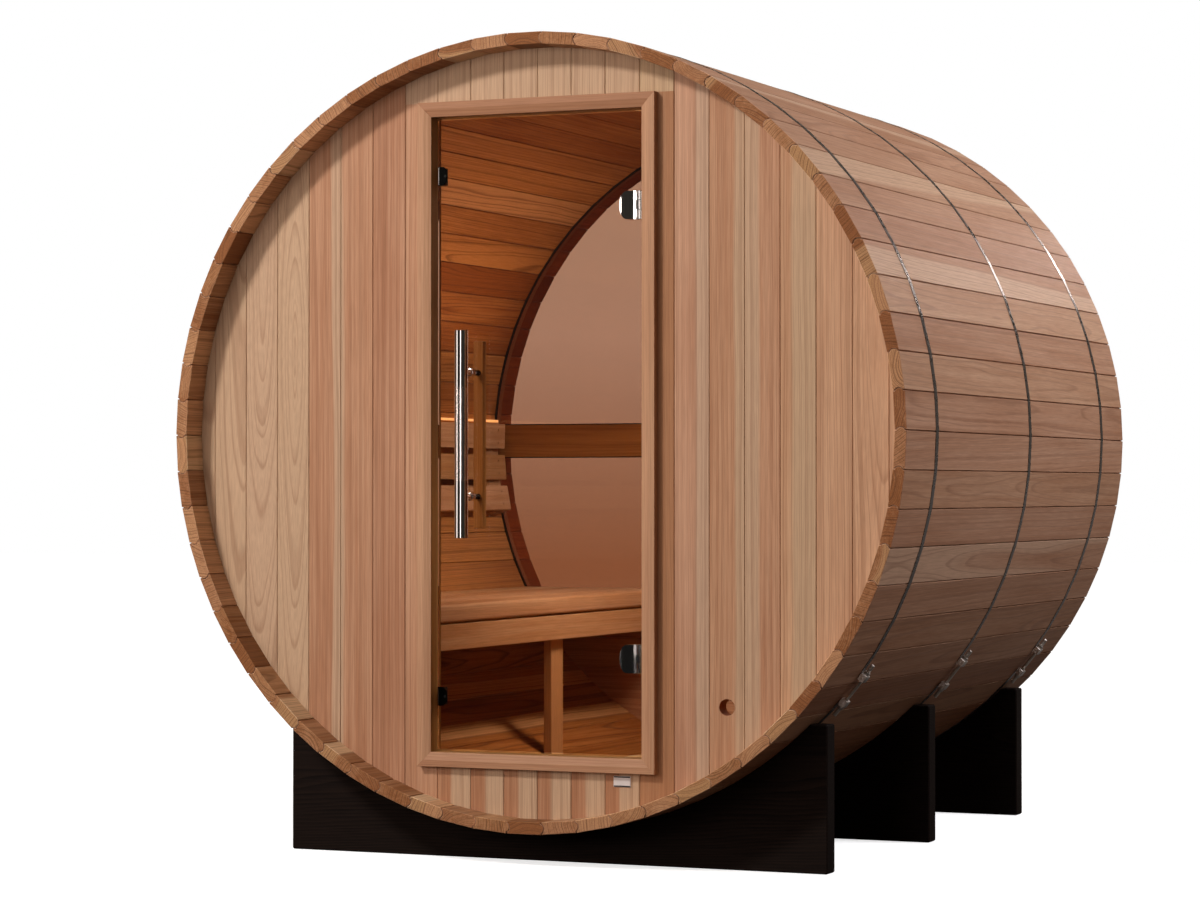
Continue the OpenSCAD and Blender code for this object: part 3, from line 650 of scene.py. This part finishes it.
door_leaves, jamb_leaves = [], []
for z in hinge_zs:
    third, gap = hinge_h / 6, 0.3 * mm
    cover(door_leaves, z, plate_low.y, glass_y)
    cover(door_leaves, z, plate_high.y, glass_back)
    for dz in (-17 * mm, 17 * mm):
        screw(door_leaves, leaf_x - 22 * mm, plate_high.y, z + dz, -2 * mm)
    plank(door_leaves, rounded(leaf_x - 1 * mm, pin_x, z - third + 0.2 * mm, z + third - 0.2 * mm, 1 * mm),
          plate_low.y + 0.3 * mm, glass_y - 1 * mm, 1, plain, 0.5, 0, 0)
    knuckle(door_leaves, z - third, z + third)
    plank(jamb_leaves, rounded(leaf_high.x - 3 * mm, leaf_high.x, leaf_low.y, leaf_high.y, 0.8 * mm),
          z - hinge_h / 2, z + hinge_h / 2, 2, plain, 0.6, 0, 0)
    for low, high in ((z - hinge_h / 2, z - third - gap), (z + third + gap, z + hinge_h / 2)):
        knuckle(jamb_leaves, low, high)
        plank(jamb_leaves, rounded(pin_x, leaf_high.x - 2.5 * mm, pin_y - 3 * mm, pin_y + 3 * mm, 0.6 * mm),
              low + 0.4 * mm, high - 0.4 * mm, 2, plain, 0.4, 0, 0)
    turned(jamb_leaves, (pin_x, pin_y, z - hinge_h / 2), (pin_x, pin_y, z + hinge_h / 2), [3 * mm] * 2,
           [0, 1])
piece("door_hinges", door_leaves, [chrome, black_steel], "door", "polished_steel", "door_hinge_leaves",
      round_over=30)
piece("jamb_hinges", jamb_leaves, [chrome], "sauna", "polished_steel", "jamb_hinge_leaves", round_over=30)

strike_low, strike_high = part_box("catch_plates")
strikes, magnets = [], []
half_h, corner = 22 * mm, 9 * mm
for z in (strike_low.z + half_h + 1 * mm, strike_high.z - half_h - 1 * mm):
    far_x = strike_high.x - 4 * mm
    face = np.array([[strike_low.x, z - half_h], [far_x - corner, z - half_h], [far_x, z - half_h + corner],
                     [far_x, z + half_h - corner], [far_x - corner, z + half_h], [strike_low.x, z + half_h]])
    plank(strikes, face, strike_low.y + 0.4 * mm, strike_high.y, 1, plain, 0.7, 0, 0)
    rod = (strike_low.x + 2 * mm, strike_low.y + 2 * mm)
    turned(strikes, (*rod, z - 19 * mm), (*rod, z + 19 * mm), [2 * mm] * 2, [0, 1], 1)
    screw(strikes, far_x - 4.5 * mm, strike_low.y, z, 1 * mm)
piece("catch_strikes", strikes, [black_steel, chrome], "door", "black_steel", "catch_plates", round_over=30)


def moulded(name, base, rough):
    """Moulded plastic or rubber: one dark colour with a fine grained skin that takes off the shine.
    The grain is really about 0.1 mm, and is drawn at 1 mm so that it shows."""
    made, node = material(name)
    place = node("TexCoord").outputs["Object"]
    grain = node("TexNoise", place, 1000.0, 3.0)
    pale = tuple(min(1.0, c * 1.5 + 0.004) for c in rgb(base)[:3]) + (1.0,)
    node("OutputMaterial", node("BsdfPrincipled", {
        "Base Color": node("Mix", node("TexNoise", place, 30.0, 4.0), rgb(base), pale, data_type="RGBA"),
        "Roughness": node("MapRange", grain, 0, 1, rough - 0.1, rough + 0.1),
        "Normal": node("Bump", {"Height": grain, "Distance": 0.0001, "Strength": 0.3})}))
    return made


black_plastic = moulded("black_moulded_plastic", "141313", 0.5)
magnet_low, magnet_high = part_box("catch_magnets")
half_h = 20 * mm
for z in (magnet_low.z + half_h, magnet_high.z - half_h):
    plank(magnets, rounded(magnet_low.x, magnet_high.x, magnet_low.y, magnet_high.y, 1.5 * mm),
          z - half_h, z + half_h, 2, plain, 1.0, 0, 0)
piece("catch_magnets_housed", magnets, [black_plastic], "sauna", "black_plastic", "catch_magnets",
      round_over=30)

# ---- Label plate ---------------------------------------------------------------
# A small pale plastic plate under the door frame, glued to the boards. It's bare but
# for a dark line along its top and bottom.

label_low, label_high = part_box("label_plate")
line = 1.4 * mm
label = []
plank(label, rounded(label_low.x, label_high.x, label_low.z, label_high.z, 1.5 * mm),
      label_low.y, label_high.y, 1, plain, 0.4, 0, 0)
for z in (label_low.z + 2 * mm, label_high.z - 2 * mm):
    plank(label, rounded(label_low.x + 1 * mm, label_high.x - 1 * mm, z - line, z + line, 0.3 * mm),
          label_low.y - 0.15 * mm, label_low.y + 0.2 * mm, 1, plain, 0, 1, 1)
piece("bare_label", label, [moulded("pale_moulded_plastic", "BDB6B2", 0.4), black_plastic], "sauna", "label",
      "label_plate", round_over=30)

# ---- Rear wall -----------------------------------------------------------------
# Level cedar boards close the rear up to bench height. Above them two bronze panes
# sit in rubber seals between a sill rail, a middle rail and the staves, and wooden
# stops behind the seals keep them in the groove.


def level_board(stock, shape, log):
    """A board across the barrel: its outline in y and z is carried along x, each point as far to both
    sides as the end wall reaches at its height."""
    reach = disc_edge(shape[:, 1] - axis_z)
    plank(stock, shape, -reach, reach, 0, log, 0)


rear_boards = []
board_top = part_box("rear_boards")[1].z
c = 1.6 * mm
for n in range(6):
    high = board_top - n * pitch
    low = max(high - pitch + seam, axis_z - disc_r * 0.9995)
    z = np.linspace(low + c, high - c, 7)
    face = np.stack([np.full(7, rear_in), z], 1)
    shape = np.concatenate([face, [[rear_in + c, high], [rear_out - c, high]],
                            np.stack([np.full(7, rear_out), z[::-1]], 1),
                            [[rear_out - c, low], [rear_in + c, low]]])
    level_board(rear_boards, shape, log_of(0.6, chance.normal(0, 0.25)))
piece("rear_boarding", rear_boards, [wall_board, stave_end], "sauna", "wall_boards", "rear_boards")

rails = []
rail_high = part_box("rear_rails")[1].z
sill_low, sill_top = board_top + seam, board_top + 50 * mm
mid_low = rail_high - 90 * mm
sunk, back = 10 * mm, rear_in + 12.3 * mm
c = 2 * mm
veil, lap = rear_in - 0.3 * mm, rear_in + 1.2 * mm       # a thin lip hides the seals in the rails
sill_shape = [[rear_in, sill_low + c], [veil, sill_low + 2 * c], [veil, sill_top], [lap, sill_top],
              [lap, sill_top - sunk], [back, sill_top - sunk], [back, sill_top - c], [back + c, sill_top],
              [rear_out - c, sill_top], [rear_out, sill_top - c], [rear_out, sill_low + c],
              [rear_out - c, sill_low], [rear_in + c, sill_low]]
mid_shape = [[lap, mid_low + sunk], [lap, mid_low], [veil, mid_low], [veil, rail_high], [lap, rail_high],
             [lap, rail_high - sunk], [back, rail_high - sunk], [back, rail_high], [rear_out - c, rail_high],
             [rear_out, rail_high - c], [rear_out, mid_low + c], [rear_out - c, mid_low], [back, mid_low],
             [back, mid_low + sunk]]
level_board(rails, np.array(sill_shape), log_of(0.3, 0.1))
level_board(rails, np.array(mid_shape), log_of(0.6, 0.0))
# the rails: a more orange copy of the cedar with little blue, with the warm cabin light painted in
rail_wood_painted_warm_light = cedar("red_cedar_rail_board", "BC8C56", "8C5E30", "6A4420", "CFA468", ring=5.0, mark=0.4,
                  rough=0.48)
piece("rear_rails_sawn", rails, [rail_wood_painted_warm_light, stave_end], "sauna", "frame_wood", "rear_rails")


def hoop(stock, r0, r1, y0, y1, start, end, log, level=False, left=False):
    """A curved strip on the inside of the staves: a rectangle between two radii and two depths is
    swept round the axis from start to end, in degrees. If level, they are heights, and it ends flat
    there, on the right or the left side."""
    shape = rounded(r0, r1, y0, y1, 0.8 * mm, 2)
    r, y = shape[:, 0], shape[:, 1]
    first, last = (np.arcsin((e - axis_z) / r) if level else np.full(len(r), np.radians(e))
                   for e in (start, end))
    if left:
        first, last = np.pi - first, np.pi - last
    turn = first + (last - first) * np.linspace(0, 1, 40)[:, None]
    local = np.stack([np.broadcast_to(y - (y0 + y1) / 2, turn.shape),
                      np.broadcast_to(r - (r0 + r1) / 2, turn.shape), r * turn], -1)
    board(stock, round_barrel(0, r, y, turn), local, log)


stops = []
stop_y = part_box("rear_glazing_stops")[0].y
crest = np.degrees(np.arcsin((rail_high + fit - axis_z) / inner))
for start, end, dark, level, left in ((sill_top + fit, mid_low - fit, 0.1, True, False),
                                      (sill_top + fit, mid_low - fit, 0.0, True, True),
                                      (crest, 180 - crest, 0.05, False, False)):
    hoop(stops, inner, disc_r, stop_y, rear_out, start, end, log_of(0, dark), level, left)
piece("glazing_stops", stops, [trim, stave_end], "sauna", "frame_wood", "rear_glazing_stops", round_over=20)
restyled("rear_glass_lower", bronze_glass)
restyled("rear_glass_upper", bronze_glass)
restyled("rear_seals", moulded("black_moulded_rubber", "0E0D0D", 0.6))

# ---- Bench ---------------------------------------------------------------------
# A bench of clear pale cedar runs along the left side: four seat boards, the front one
# with rounded edges, on cross bearers behind an apron, with a post at the middle.

bench_cedar = cedar("clear_cedar_bench_board", "EAD2B0", "C8A278", "A47850", "EEDCC0", mark=0.36, rough=0.5)
seat_low, seat_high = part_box("seat")
apron_low, apron_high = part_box("seat_apron")
post_low, post_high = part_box("bench_post")
bearer_low, bearer_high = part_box("bench_bearers")
inside_r = inner - fit
seat_boards, gap, edge, nose, bearer_w = 4, 6 * mm, 2 * mm, 7 * mm, 38 * mm
bench = []


def floor_at(across):
    """How far the staves are from the axis level or plumb, at a distance across from it."""
    return np.sqrt(inside_r ** 2 - across ** 2)


seat_pitch = (seat_high.x + floor_at(axis_z - seat_high.z) + gap) / seat_boards
for n in range(seat_boards):
    x1 = seat_high.x - n * seat_pitch
    x0 = x1 - seat_pitch + gap
    low, high = seat_low.z, seat_high.z
    shape = rounded(x0, x1, low, high, 2.5 * mm)
    if n == 0:
        turn = np.linspace(0, np.pi / 2, 7)
        round_up = np.stack([x1 - nose + nose * np.cos(turn), nose * np.sin(turn)], 1)
        shape = np.concatenate([round_up + [0, high - nose],
                                [[x0 + edge, high], [x0, high - edge], [x0, low + edge], [x0 + edge, low]],
                                round_up[::-1] * [1, -1] + [0, low + nose]])
    if n == seat_boards - 1:
        z = np.linspace(high, low, 5)
        shape = np.concatenate([np.stack([-floor_at(axis_z - z), z], 1),
                                [[x1 - edge, low], [x1, low + edge], [x1, high - edge], [x1 - edge, high]]])
    plank(bench, shape, seat_low.y, seat_high.y, 1, log_of(0.7, chance.normal(0, 0.15), None, 0.006))
shape = rounded(apron_low.x, apron_high.x, apron_low.z, apron_high.z, 2 * mm)
plank(bench, shape, apron_low.y, apron_high.y, 1, log_of(0.5, 0.4))
shape = rounded(post_low.x, post_high.x, post_low.y, post_high.y, 2 * mm)
# the post takes a darker tone, 0.8, than the rest of the bench: painted shade under the seat
plank(bench, shape, axis_z - floor_at(shape[:, 0]), post_high.z, 2, log_of(0.3, 0.8), 0)
post_y = 60 * mm
for y, x1 in ((bearer_low.y, bearer_high.x), (post_y - bearer_w / 2, bearer_high.x - 22 * mm),
              (bearer_high.y - bearer_w, bearer_high.x)):
    shape = rounded(y, y + bearer_w, bearer_low.z, bearer_high.z, 1.5 * mm)
    plank(bench, shape, -floor_at(axis_z - shape[:, 1]), x1, 0, log_of(0.3, 0.1), 0)
piece("bench", bench, [bench_cedar, bench_cedar], "sauna", "bench_wood", "seat", "seat_apron", "bench_post",
      "bench_bearers", round_over=20)

# ---- Backrest --------------------------------------------------------------------
# Three slats with rounded edges are screwed to curved battens on the staves, and a warm
# light strip lies on top of the battens behind the uppermost slat.

slat_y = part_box("backrest_slats")[1].y
slat_face, slat_t, slat_w, slat_pitch = inside_r - 43 * mm, 20 * mm, 70 * mm, 89 * mm
slat_step = 2 * np.arcsin(slat_pitch / (2 * (slat_face + slat_t)))
slat_first, batten_over = 178.6, 2.6             # degrees: the lowest slat, and the battens past the slats
batten_r = np.hypot(slat_face + slat_t, slat_w / 2) + fit
batten_start = slat_first - batten_over
batten_end = slat_first + np.degrees(2 * slat_step) + batten_over
batten_w = 90 * mm


def slat(stock, turn, r0, r1, s0, s1, log, corner, sides=0, ends=1):
    """A straight strip along the barrel: its outline, in distance from the axis and distance round
    it, is turned to its angle and carried the length of the backrest."""
    shape, y = narrowed(rounded(r0, r1, s0, s1, corner), 1 * mm, -slat_y, slat_y)
    r, s = shape[..., 0], shape[..., 1]
    y = np.broadcast_to(y[:, None], r.shape)
    board(stock, round_barrel(s, r, y, turn), np.stack([s - (s0 + s1) / 2, r - (r0 + r1) / 2, y], -1), log,
          sides, ends)


backrest = []
for n in range(3):
    turn = np.radians(slat_first) + n * slat_step
    slat(backrest, turn, slat_face, slat_face + slat_t, -slat_w / 2, slat_w / 2,
         log_of(0.8, chance.normal(0, 0.2), None, 0.006), 3 * mm)
    for y in (-slat_y + batten_w / 2, 0, slat_y - batten_w / 2):
        for s in (-18 * mm, 18 * mm):
            head = round_barrel(s, slat_face, y, turn)
            way = np.array([np.cos(turn), 0, np.sin(turn)])
            turned(backrest, head, head + 1 * mm * way, [3.2 * mm, 3.6 * mm], [0, 1], sides=2, around=10)
for y in (-slat_y, -batten_w / 2, slat_y - batten_w):
    hoop(backrest, batten_r, inside_r, y, y + batten_w, batten_start, batten_end, log_of(0.5, 0.1))
piece("backrest", backrest, [bench_cedar, bench_cedar, brushed_steel], "sauna", "bench_wood",
      "backrest_slats", "backrest_battens", round_over=30)


def diffuser(name, tint, glow):
    """Opal polycarbonate over warm light-emitting diodes: a milky strip, a little brighter over each
    diode. The diodes are 17 mm apart."""
    made, node = material(name)
    y = node("SeparateXYZ", node("TexCoord").outputs["Object"]).outputs["Y"]
    beat = node("Math", node("Math", y, 2 * np.pi / 0.017, operation="MULTIPLY"), operation="SINE")
    node("OutputMaterial", node("BsdfPrincipled", {
        "Base Color": rgb(tint), "Roughness": 0.45, "Emission Color": rgb("FFC27A"),
        "Emission Strength": node("MapRange", beat, -1.0, 1.0, 0.82 * glow, glow)}))
    return made


strip = []
slat(strip, np.radians(batten_start), batten_r + 2 * mm, batten_r + 14 * mm, -7 * mm - fit, -fit, plain,
     1.5 * mm, 0, 0)
piece("light_strip_lit", strip, [diffuser("opal_polycarbonate_lit", "E8D3B0", 1.6)], "sauna",
      "light_diffuser", "light_strip", round_over=30)

# ---- Bands and tensioners ----------------------------------------------------------
# Three stainless steel bands, 20 mm wide, hold the staves. Each ends under two blocks
# on the right side, low down, and a threaded rod with a nut at each block draws them together.

band_low, band_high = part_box("bands")
band_w, band_t = 20 * mm, 0.8 * mm
band_r = band_high.z - axis_z - band_t
band_ys = (band_low.y + band_w / 2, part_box("cradle_middle")[1].y + 8 * mm + band_w / 2,
           band_high.y - band_w / 2)
tension = np.radians(-39.0)
reach, rod_l = 37 * mm, 148 * mm                 # from the rod's middle to a block, and its length
block_h, block_t, half_w, corner = 16 * mm, 18 * mm, 12 * mm, 0.7 * mm
block_foot = 7 * mm                              # half of what of a block bears on the band
rod_r = np.sqrt((band_r + band_t) ** 2 - (reach - block_foot) ** 2) + block_h / 2 + fit
opening = np.arcsin(reach / rod_r)
banding = steel("brushed_stainless_band", "8F8680", 0.24, 0.08, (14, 900, 14))
cast_steel = steel("zinc_plated_steel", "F0E6DC", 0.36, 0.15, (500, 500, 500), 0.12)


def band_line(t):
    """Radius of a band at an angle t: straight from stave corner to stave corner, so the corner
    radius times the cosine of half a step over the cosine of the angle from the flat's middle,
    a little over the flat and no more than the corner radius."""
    off = (t / step) % 1 - 0.5
    return np.minimum(band_r * np.cos(step / 2) / np.cos(off * step) + 0.15 * mm, band_r)


bands = []
points_a_stave = 6
turns = np.arange(0, stave_count * points_a_stave + 1) / points_a_stave * step + tension
first, last = tension + opening, tension + 2 * np.pi - opening
turns = np.concatenate([[first], turns[(turns > first) & (turns < last)], [last]])[:, None]
shape = rounded(-band_w / 2, band_w / 2, 0, band_t, 0.25 * mm, 2)
for y in band_ys:
    rings = round_barrel(0, band_line(turns) + shape[:, 1], shape[:, 0] + y, turns)
    board(bands, rings, rings, plain, 0, 0)
piece("steel_bands", bands, [banding], "sauna", "steel_band", "bands", round_over=12)


def thread(stock, low, high, r, crests=92):
    """A threaded rod from one point to another: its radius falls and rises by the thread's depth once
    for each crest, drawn as rings one after the other. They are 1.6 mm apart, really 1.25 mm."""
    radii = np.where(np.arange(2 * crests + 1) % 2, r, r - 0.5 * mm)
    radii[[0, -1]] = r - 0.8 * mm
    turned(stock, low, high, radii, np.linspace(0, 1, 2 * crests + 1), around=10)


tensioners = []
run = np.array([-np.sin(tension), 0, np.cos(tension)])       # counter-clockwise along the band
out = np.array([np.cos(tension), 0, np.sin(tension)])
for y in band_ys:
    base = np.array([0, y, axis_z]) + rod_r * out
    thread(tensioners, base - rod_l / 2 * run, base + rod_l / 2 * run, 4.6 * mm)
    for way in (-1, 1):
        # a square block over the band's end, with the ends of a pin through it
        w = way * reach
        shape = rounded(w - block_t / 2, w + block_t / 2, -block_h / 2, block_h / 2, 1.5 * mm, 3)
        drawn, sides = narrowed(shape, corner, -half_w, half_w)
        across = sides[:, None, None] * np.array([0, 1, 0])
        rings = base + drawn[..., :1] * run + drawn[..., 1:] * out + across
        board(tensioners, rings, rings, plain, 0, 0)
        for side in (-1, 1):
            low, high = (base + w * run + [0, side * (half_w + rise), 0] for rise in (-0.3 * mm, 0.9 * mm))
            turned(tensioners, low, high, [3.4 * mm, 3.4 * mm, 2.6 * mm], [0, 0.6, 1], around=12)
        # the nut and its washer outside the block
        for low, high, radii, places, around in ((0, 1.4, [7.4, 7.4], [0, 1], 24),
                                                 (1.4, 7.4, [6.9, 7.4, 7.4, 6.9], [0, 0.1, 0.9, 1], 6)):
            at = base + (w + way * (block_t / 2 + 0.2 * mm)) * run
            turned(tensioners, at + way * low * mm * run, at + way * high * mm * run,
                   np.array(radii) * mm, places, around=around)
piece("tensioners", tensioners, [cast_steel, banding], "sauna", "steel_band", "band_tensioners",
      round_over=35)

# ---- Cradles -----------------------------------------------------------------------
# Three planks stand on edge under the barrel, each sawn to a round seat. They are
# softwood stained black, so that their grain shows only as a faint sheen.


def stained(name, base, light, rough):
    """Softwood stained black, satin: nearly black, a little browner in the hard rings, and lighter
    the higher they stand up in the brushed face: painted highlight where they catch the light."""
    made, node = material(name)
    log, radius = in_log(node, 1.5, 0.04)
    wave = node("Math", node("Math", radius, 170.0, operation="MULTIPLY"), operation="FRACT")
    height = node("Math", wave, 0.5, figure(node, log, 260, 6, 3.0), operation="MULTIPLY_ADD")
    # the raised rings are lighter in colour: painted highlight
    lit = node("MapRange", height, 0.3, 1.2)
    node("OutputMaterial", node("BsdfPrincipled", {
        "Base Color": node("Mix", lit, rgb(base), rgb(light), data_type="RGBA"),
        "Roughness": node("MapRange", height, 0, 1.3, rough + 0.12, rough - 0.08), "Specular IOR Level": 0.08,
        "Normal": node("Bump", {"Height": height, "Distance": 0.0006, "Strength": 0.5})}))
    return made


black_wood = stained("black_stained_softwood", "0B0706", "1F1510", 0.6)
bite, arris = 3 * mm, 2.5 * mm
for name in ("cradle_front", "cradle_middle", "cradle_rear"):
    low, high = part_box(name)
    up = high.z - axis_z
    lip = np.sqrt(band_r ** 2 - up ** 2)
    t = np.linspace(np.arctan2(up, lip), np.arctan2(up, -lip), 60)
    arc = np.stack([band_r * np.cos(t), axis_z + band_r * np.sin(t)], 1)
    shape = np.concatenate([[[low.x, low.z + bite], [low.x + bite, low.z], [high.x - bite, low.z],
                             [high.x, low.z + bite], [high.x, high.z - bite], [high.x - bite, high.z]], arc,
                            [[low.x + bite, high.z], [low.x, high.z - bite]]])
    drawn, y = narrowed(shape, arris, low.y, high.y)
    y = np.broadcast_to(y[:, None], drawn.shape[:2])
    stock = []
    board(stock, np.stack([drawn[..., 0], y, drawn[..., 1]], -1),
          np.stack([drawn[..., 1] - 0.2, y - (low.y + high.y) / 2, drawn[..., 0]], -1),
          log_of(0.9, 0, None, 0.03), 0, 0)
    piece(name + "_plank", stock, [black_wood], "sauna", "black_stained_wood", name)

# ---- Floor, lamps and camera ---------------------------------------------------------
# A pale studio floor keeps the shadow, and is dim for light that bounces. Glass shows a
# backdrop that is warm low down, and steel a dim room with two tall strip lamps.

floor_mesh = bpy.data.meshes.new("floor")
corners = [(x, y, -0.001) for x, y in ((-30, -30), (30, -30), (30, 30), (-30, 30))]
floor_mesh.from_pydata(corners, [], [(0, 1, 2, 3)])
studio, node = material("painted_studio_floor")
place = node("TexCoord").outputs["Object"]
grit = node("TexNoise", place, 60.0, 3.0)
far = node("VectorMath", place, operation="LENGTH")
depth = node("SeparateXYZ", place).outputs["Y"]
paint = node("BsdfDiffuse", node("Mix", grit, rgb("DADADA"), rgb("E2E2E2"), data_type="RGBA"))
white = node("Emission", rgb("FFFFFF"), node("MapRange", far, 1.2, 3.2, 0.7, 1.0))
mirrored = node("Emission", rgb("FFF6F0"), node("MapRange", depth, -1.0, 4.0, 0.01, 0.15))
through = node("Emission", rgb("D0AC92"), node("MapRange", depth, -2.0, 0.5, 0.15, 1.0))
path = node("LightPath").outputs
below = node("MixShader", path["Is Glossy Ray"], node("BsdfDiffuse", rgb("4C3E36")), mirrored)
below = node("MixShader", path["Is Transmission Ray"], below, through)
node("OutputMaterial", node("MixShader", path["Is Camera Ray"], below, node("AddShader", paint, white)))
floor_mesh.materials.append(studio)
floor = bpy.data.objects.new("floor", floor_mesh)
bpy.context.scene.collection.objects.link(floor)
floor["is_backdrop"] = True

world = bpy.data.worlds.new("studio")
bpy.context.scene.world = world
world.use_nodes = True
world.node_tree.nodes.clear()
node = partial(add, world.node_tree)
path = node("LightPath").outputs
glossy, passed = path["Is Glossy Ray"], path["Is Transmission Ray"]
x, y, z = node("SeparateXYZ", node("TexCoord").outputs["Generated"]).outputs
fade = node("ValToRGB", node("MapRange", z, -0.03, 0.08), stops=[
    (0.06, rgb("D0AC92")), (1.0, rgb("FFFFFF")), (0.27, rgb("DDC7B8")), (0.69, rgb("FFFDFF"))])
room = node("Math", node("MapRange", y, -0.2, 0.9, 0.03, 0.12), node("MapRange", z, 0.25, 0.9, 0.0, 0.1),
            operation="ADD")
shine = node("Mix", room, rgb("000000"), rgb("FFF0E0"), data_type="RGBA")
seen_through = node("Mix", node("MapRange", y, -0.1, 0.1, 0.15), rgb("000000"), fade, data_type="RGBA")
tint = node("Mix", glossy, rgb("FFFFFF"), shine, data_type="RGBA")
tint = node("Mix", passed, tint, seen_through, data_type="RGBA")
direct = node("Math", glossy, passed, operation="MAXIMUM")
direct = node("Math", path["Is Camera Ray"], direct, operation="MAXIMUM")
node("OutputWorld", node("MixShader", direct, node("Background", rgb("FFDCC2"), 0.1),
                         node("Background", tint, 1.0)))


def lamp(name, place, aim, size, watts, colour, mirrored=True, beam=180):
    """A soft rectangular lamp of the given size at place, facing aim, with its beam in degrees. One
    that isn't mirrored doesn't show in glass and steel."""
    data = bpy.data.lights.new(name, "AREA")
    data.shape = "RECTANGLE"
    data.size, data.size_y = size
    data.energy = watts
    data.color = rgb(colour)[:3]
    data.spread = np.radians(beam)
    made = bpy.data.objects.new(name, data)
    bpy.context.scene.collection.objects.link(made)
    made.location = place
    away = np.array(place, float) - np.array(aim, float)
    made.rotation_euler = (np.arctan2(np.hypot(away[0], away[1]), away[2]), 0,
                           np.arctan2(away[1], away[0]) + np.pi / 2)
    made.visible_camera = False
    made.visible_glossy = made.visible_transmission = mirrored


lamp("key", (-2.4, -4.9, 4.3), (0, -0.6, 1.0), (0.7, 0.7), 228, "FFFAF5")
lamp("right_high", (4.2, 0.8, 4.4), (0.4, 0, 1.0), (1.6, 2.0), 205, "FAF8FF")
lamp("back_right", (1.1, 5.0, 2.6), (0.6, 0, 1.3), (1.2, 1.2), 40, "FFFAF8", mirrored=False)
lamp("glint", (0.95, 5.0, 2.5), (0.7, 0, 1.3), (0.5, 0.35), 14, "FFF0EA")
lamp("front", (-1.8, -6.0, 1.8), (0, -0.8, 0.9), (3.0, 2.0), 88, "FFF6F0", mirrored=False)
lamp("strip_left", (-4.2, -4.4, 1.5), (-0.15, -0.9, 1.0), (0.7, 2.4), 26, "FFF0EA")
lamp("strip_right", (1.04, -5.73, 1.5), (-0.15, -0.9, 1.0), (0.7, 2.4), 30, "FFF0EA")
lamp("cabin_down", (0.4, -0.05, 1.5), (-0.3, 0.1, 0.4), (0.5, 0.3), 8.6, "FFF4E6", mirrored=False, beam=120)
lamp("cabin_glow", (-0.62, 0.0, 1.12), (-0.3, 0.0, 2.0), (1.4, 0.3), 4.8, "FFE0C4", mirrored=False)

camera = bpy.data.objects.new("camera", bpy.data.cameras.new("camera"))
bpy.context.scene.collection.objects.link(camera)
camera.location = (3.2010, -7.8204, 0.8612)
camera.rotation_euler = np.radians((90.68, 0, 23.56))
camera.data.sensor_width = 36
camera.data.lens = 100.25
camera.data.clip_end = 200
bpy.context.scene.camera = camera
bpy.context.scene.view_settings.view_transform = "Standard"

low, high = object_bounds()
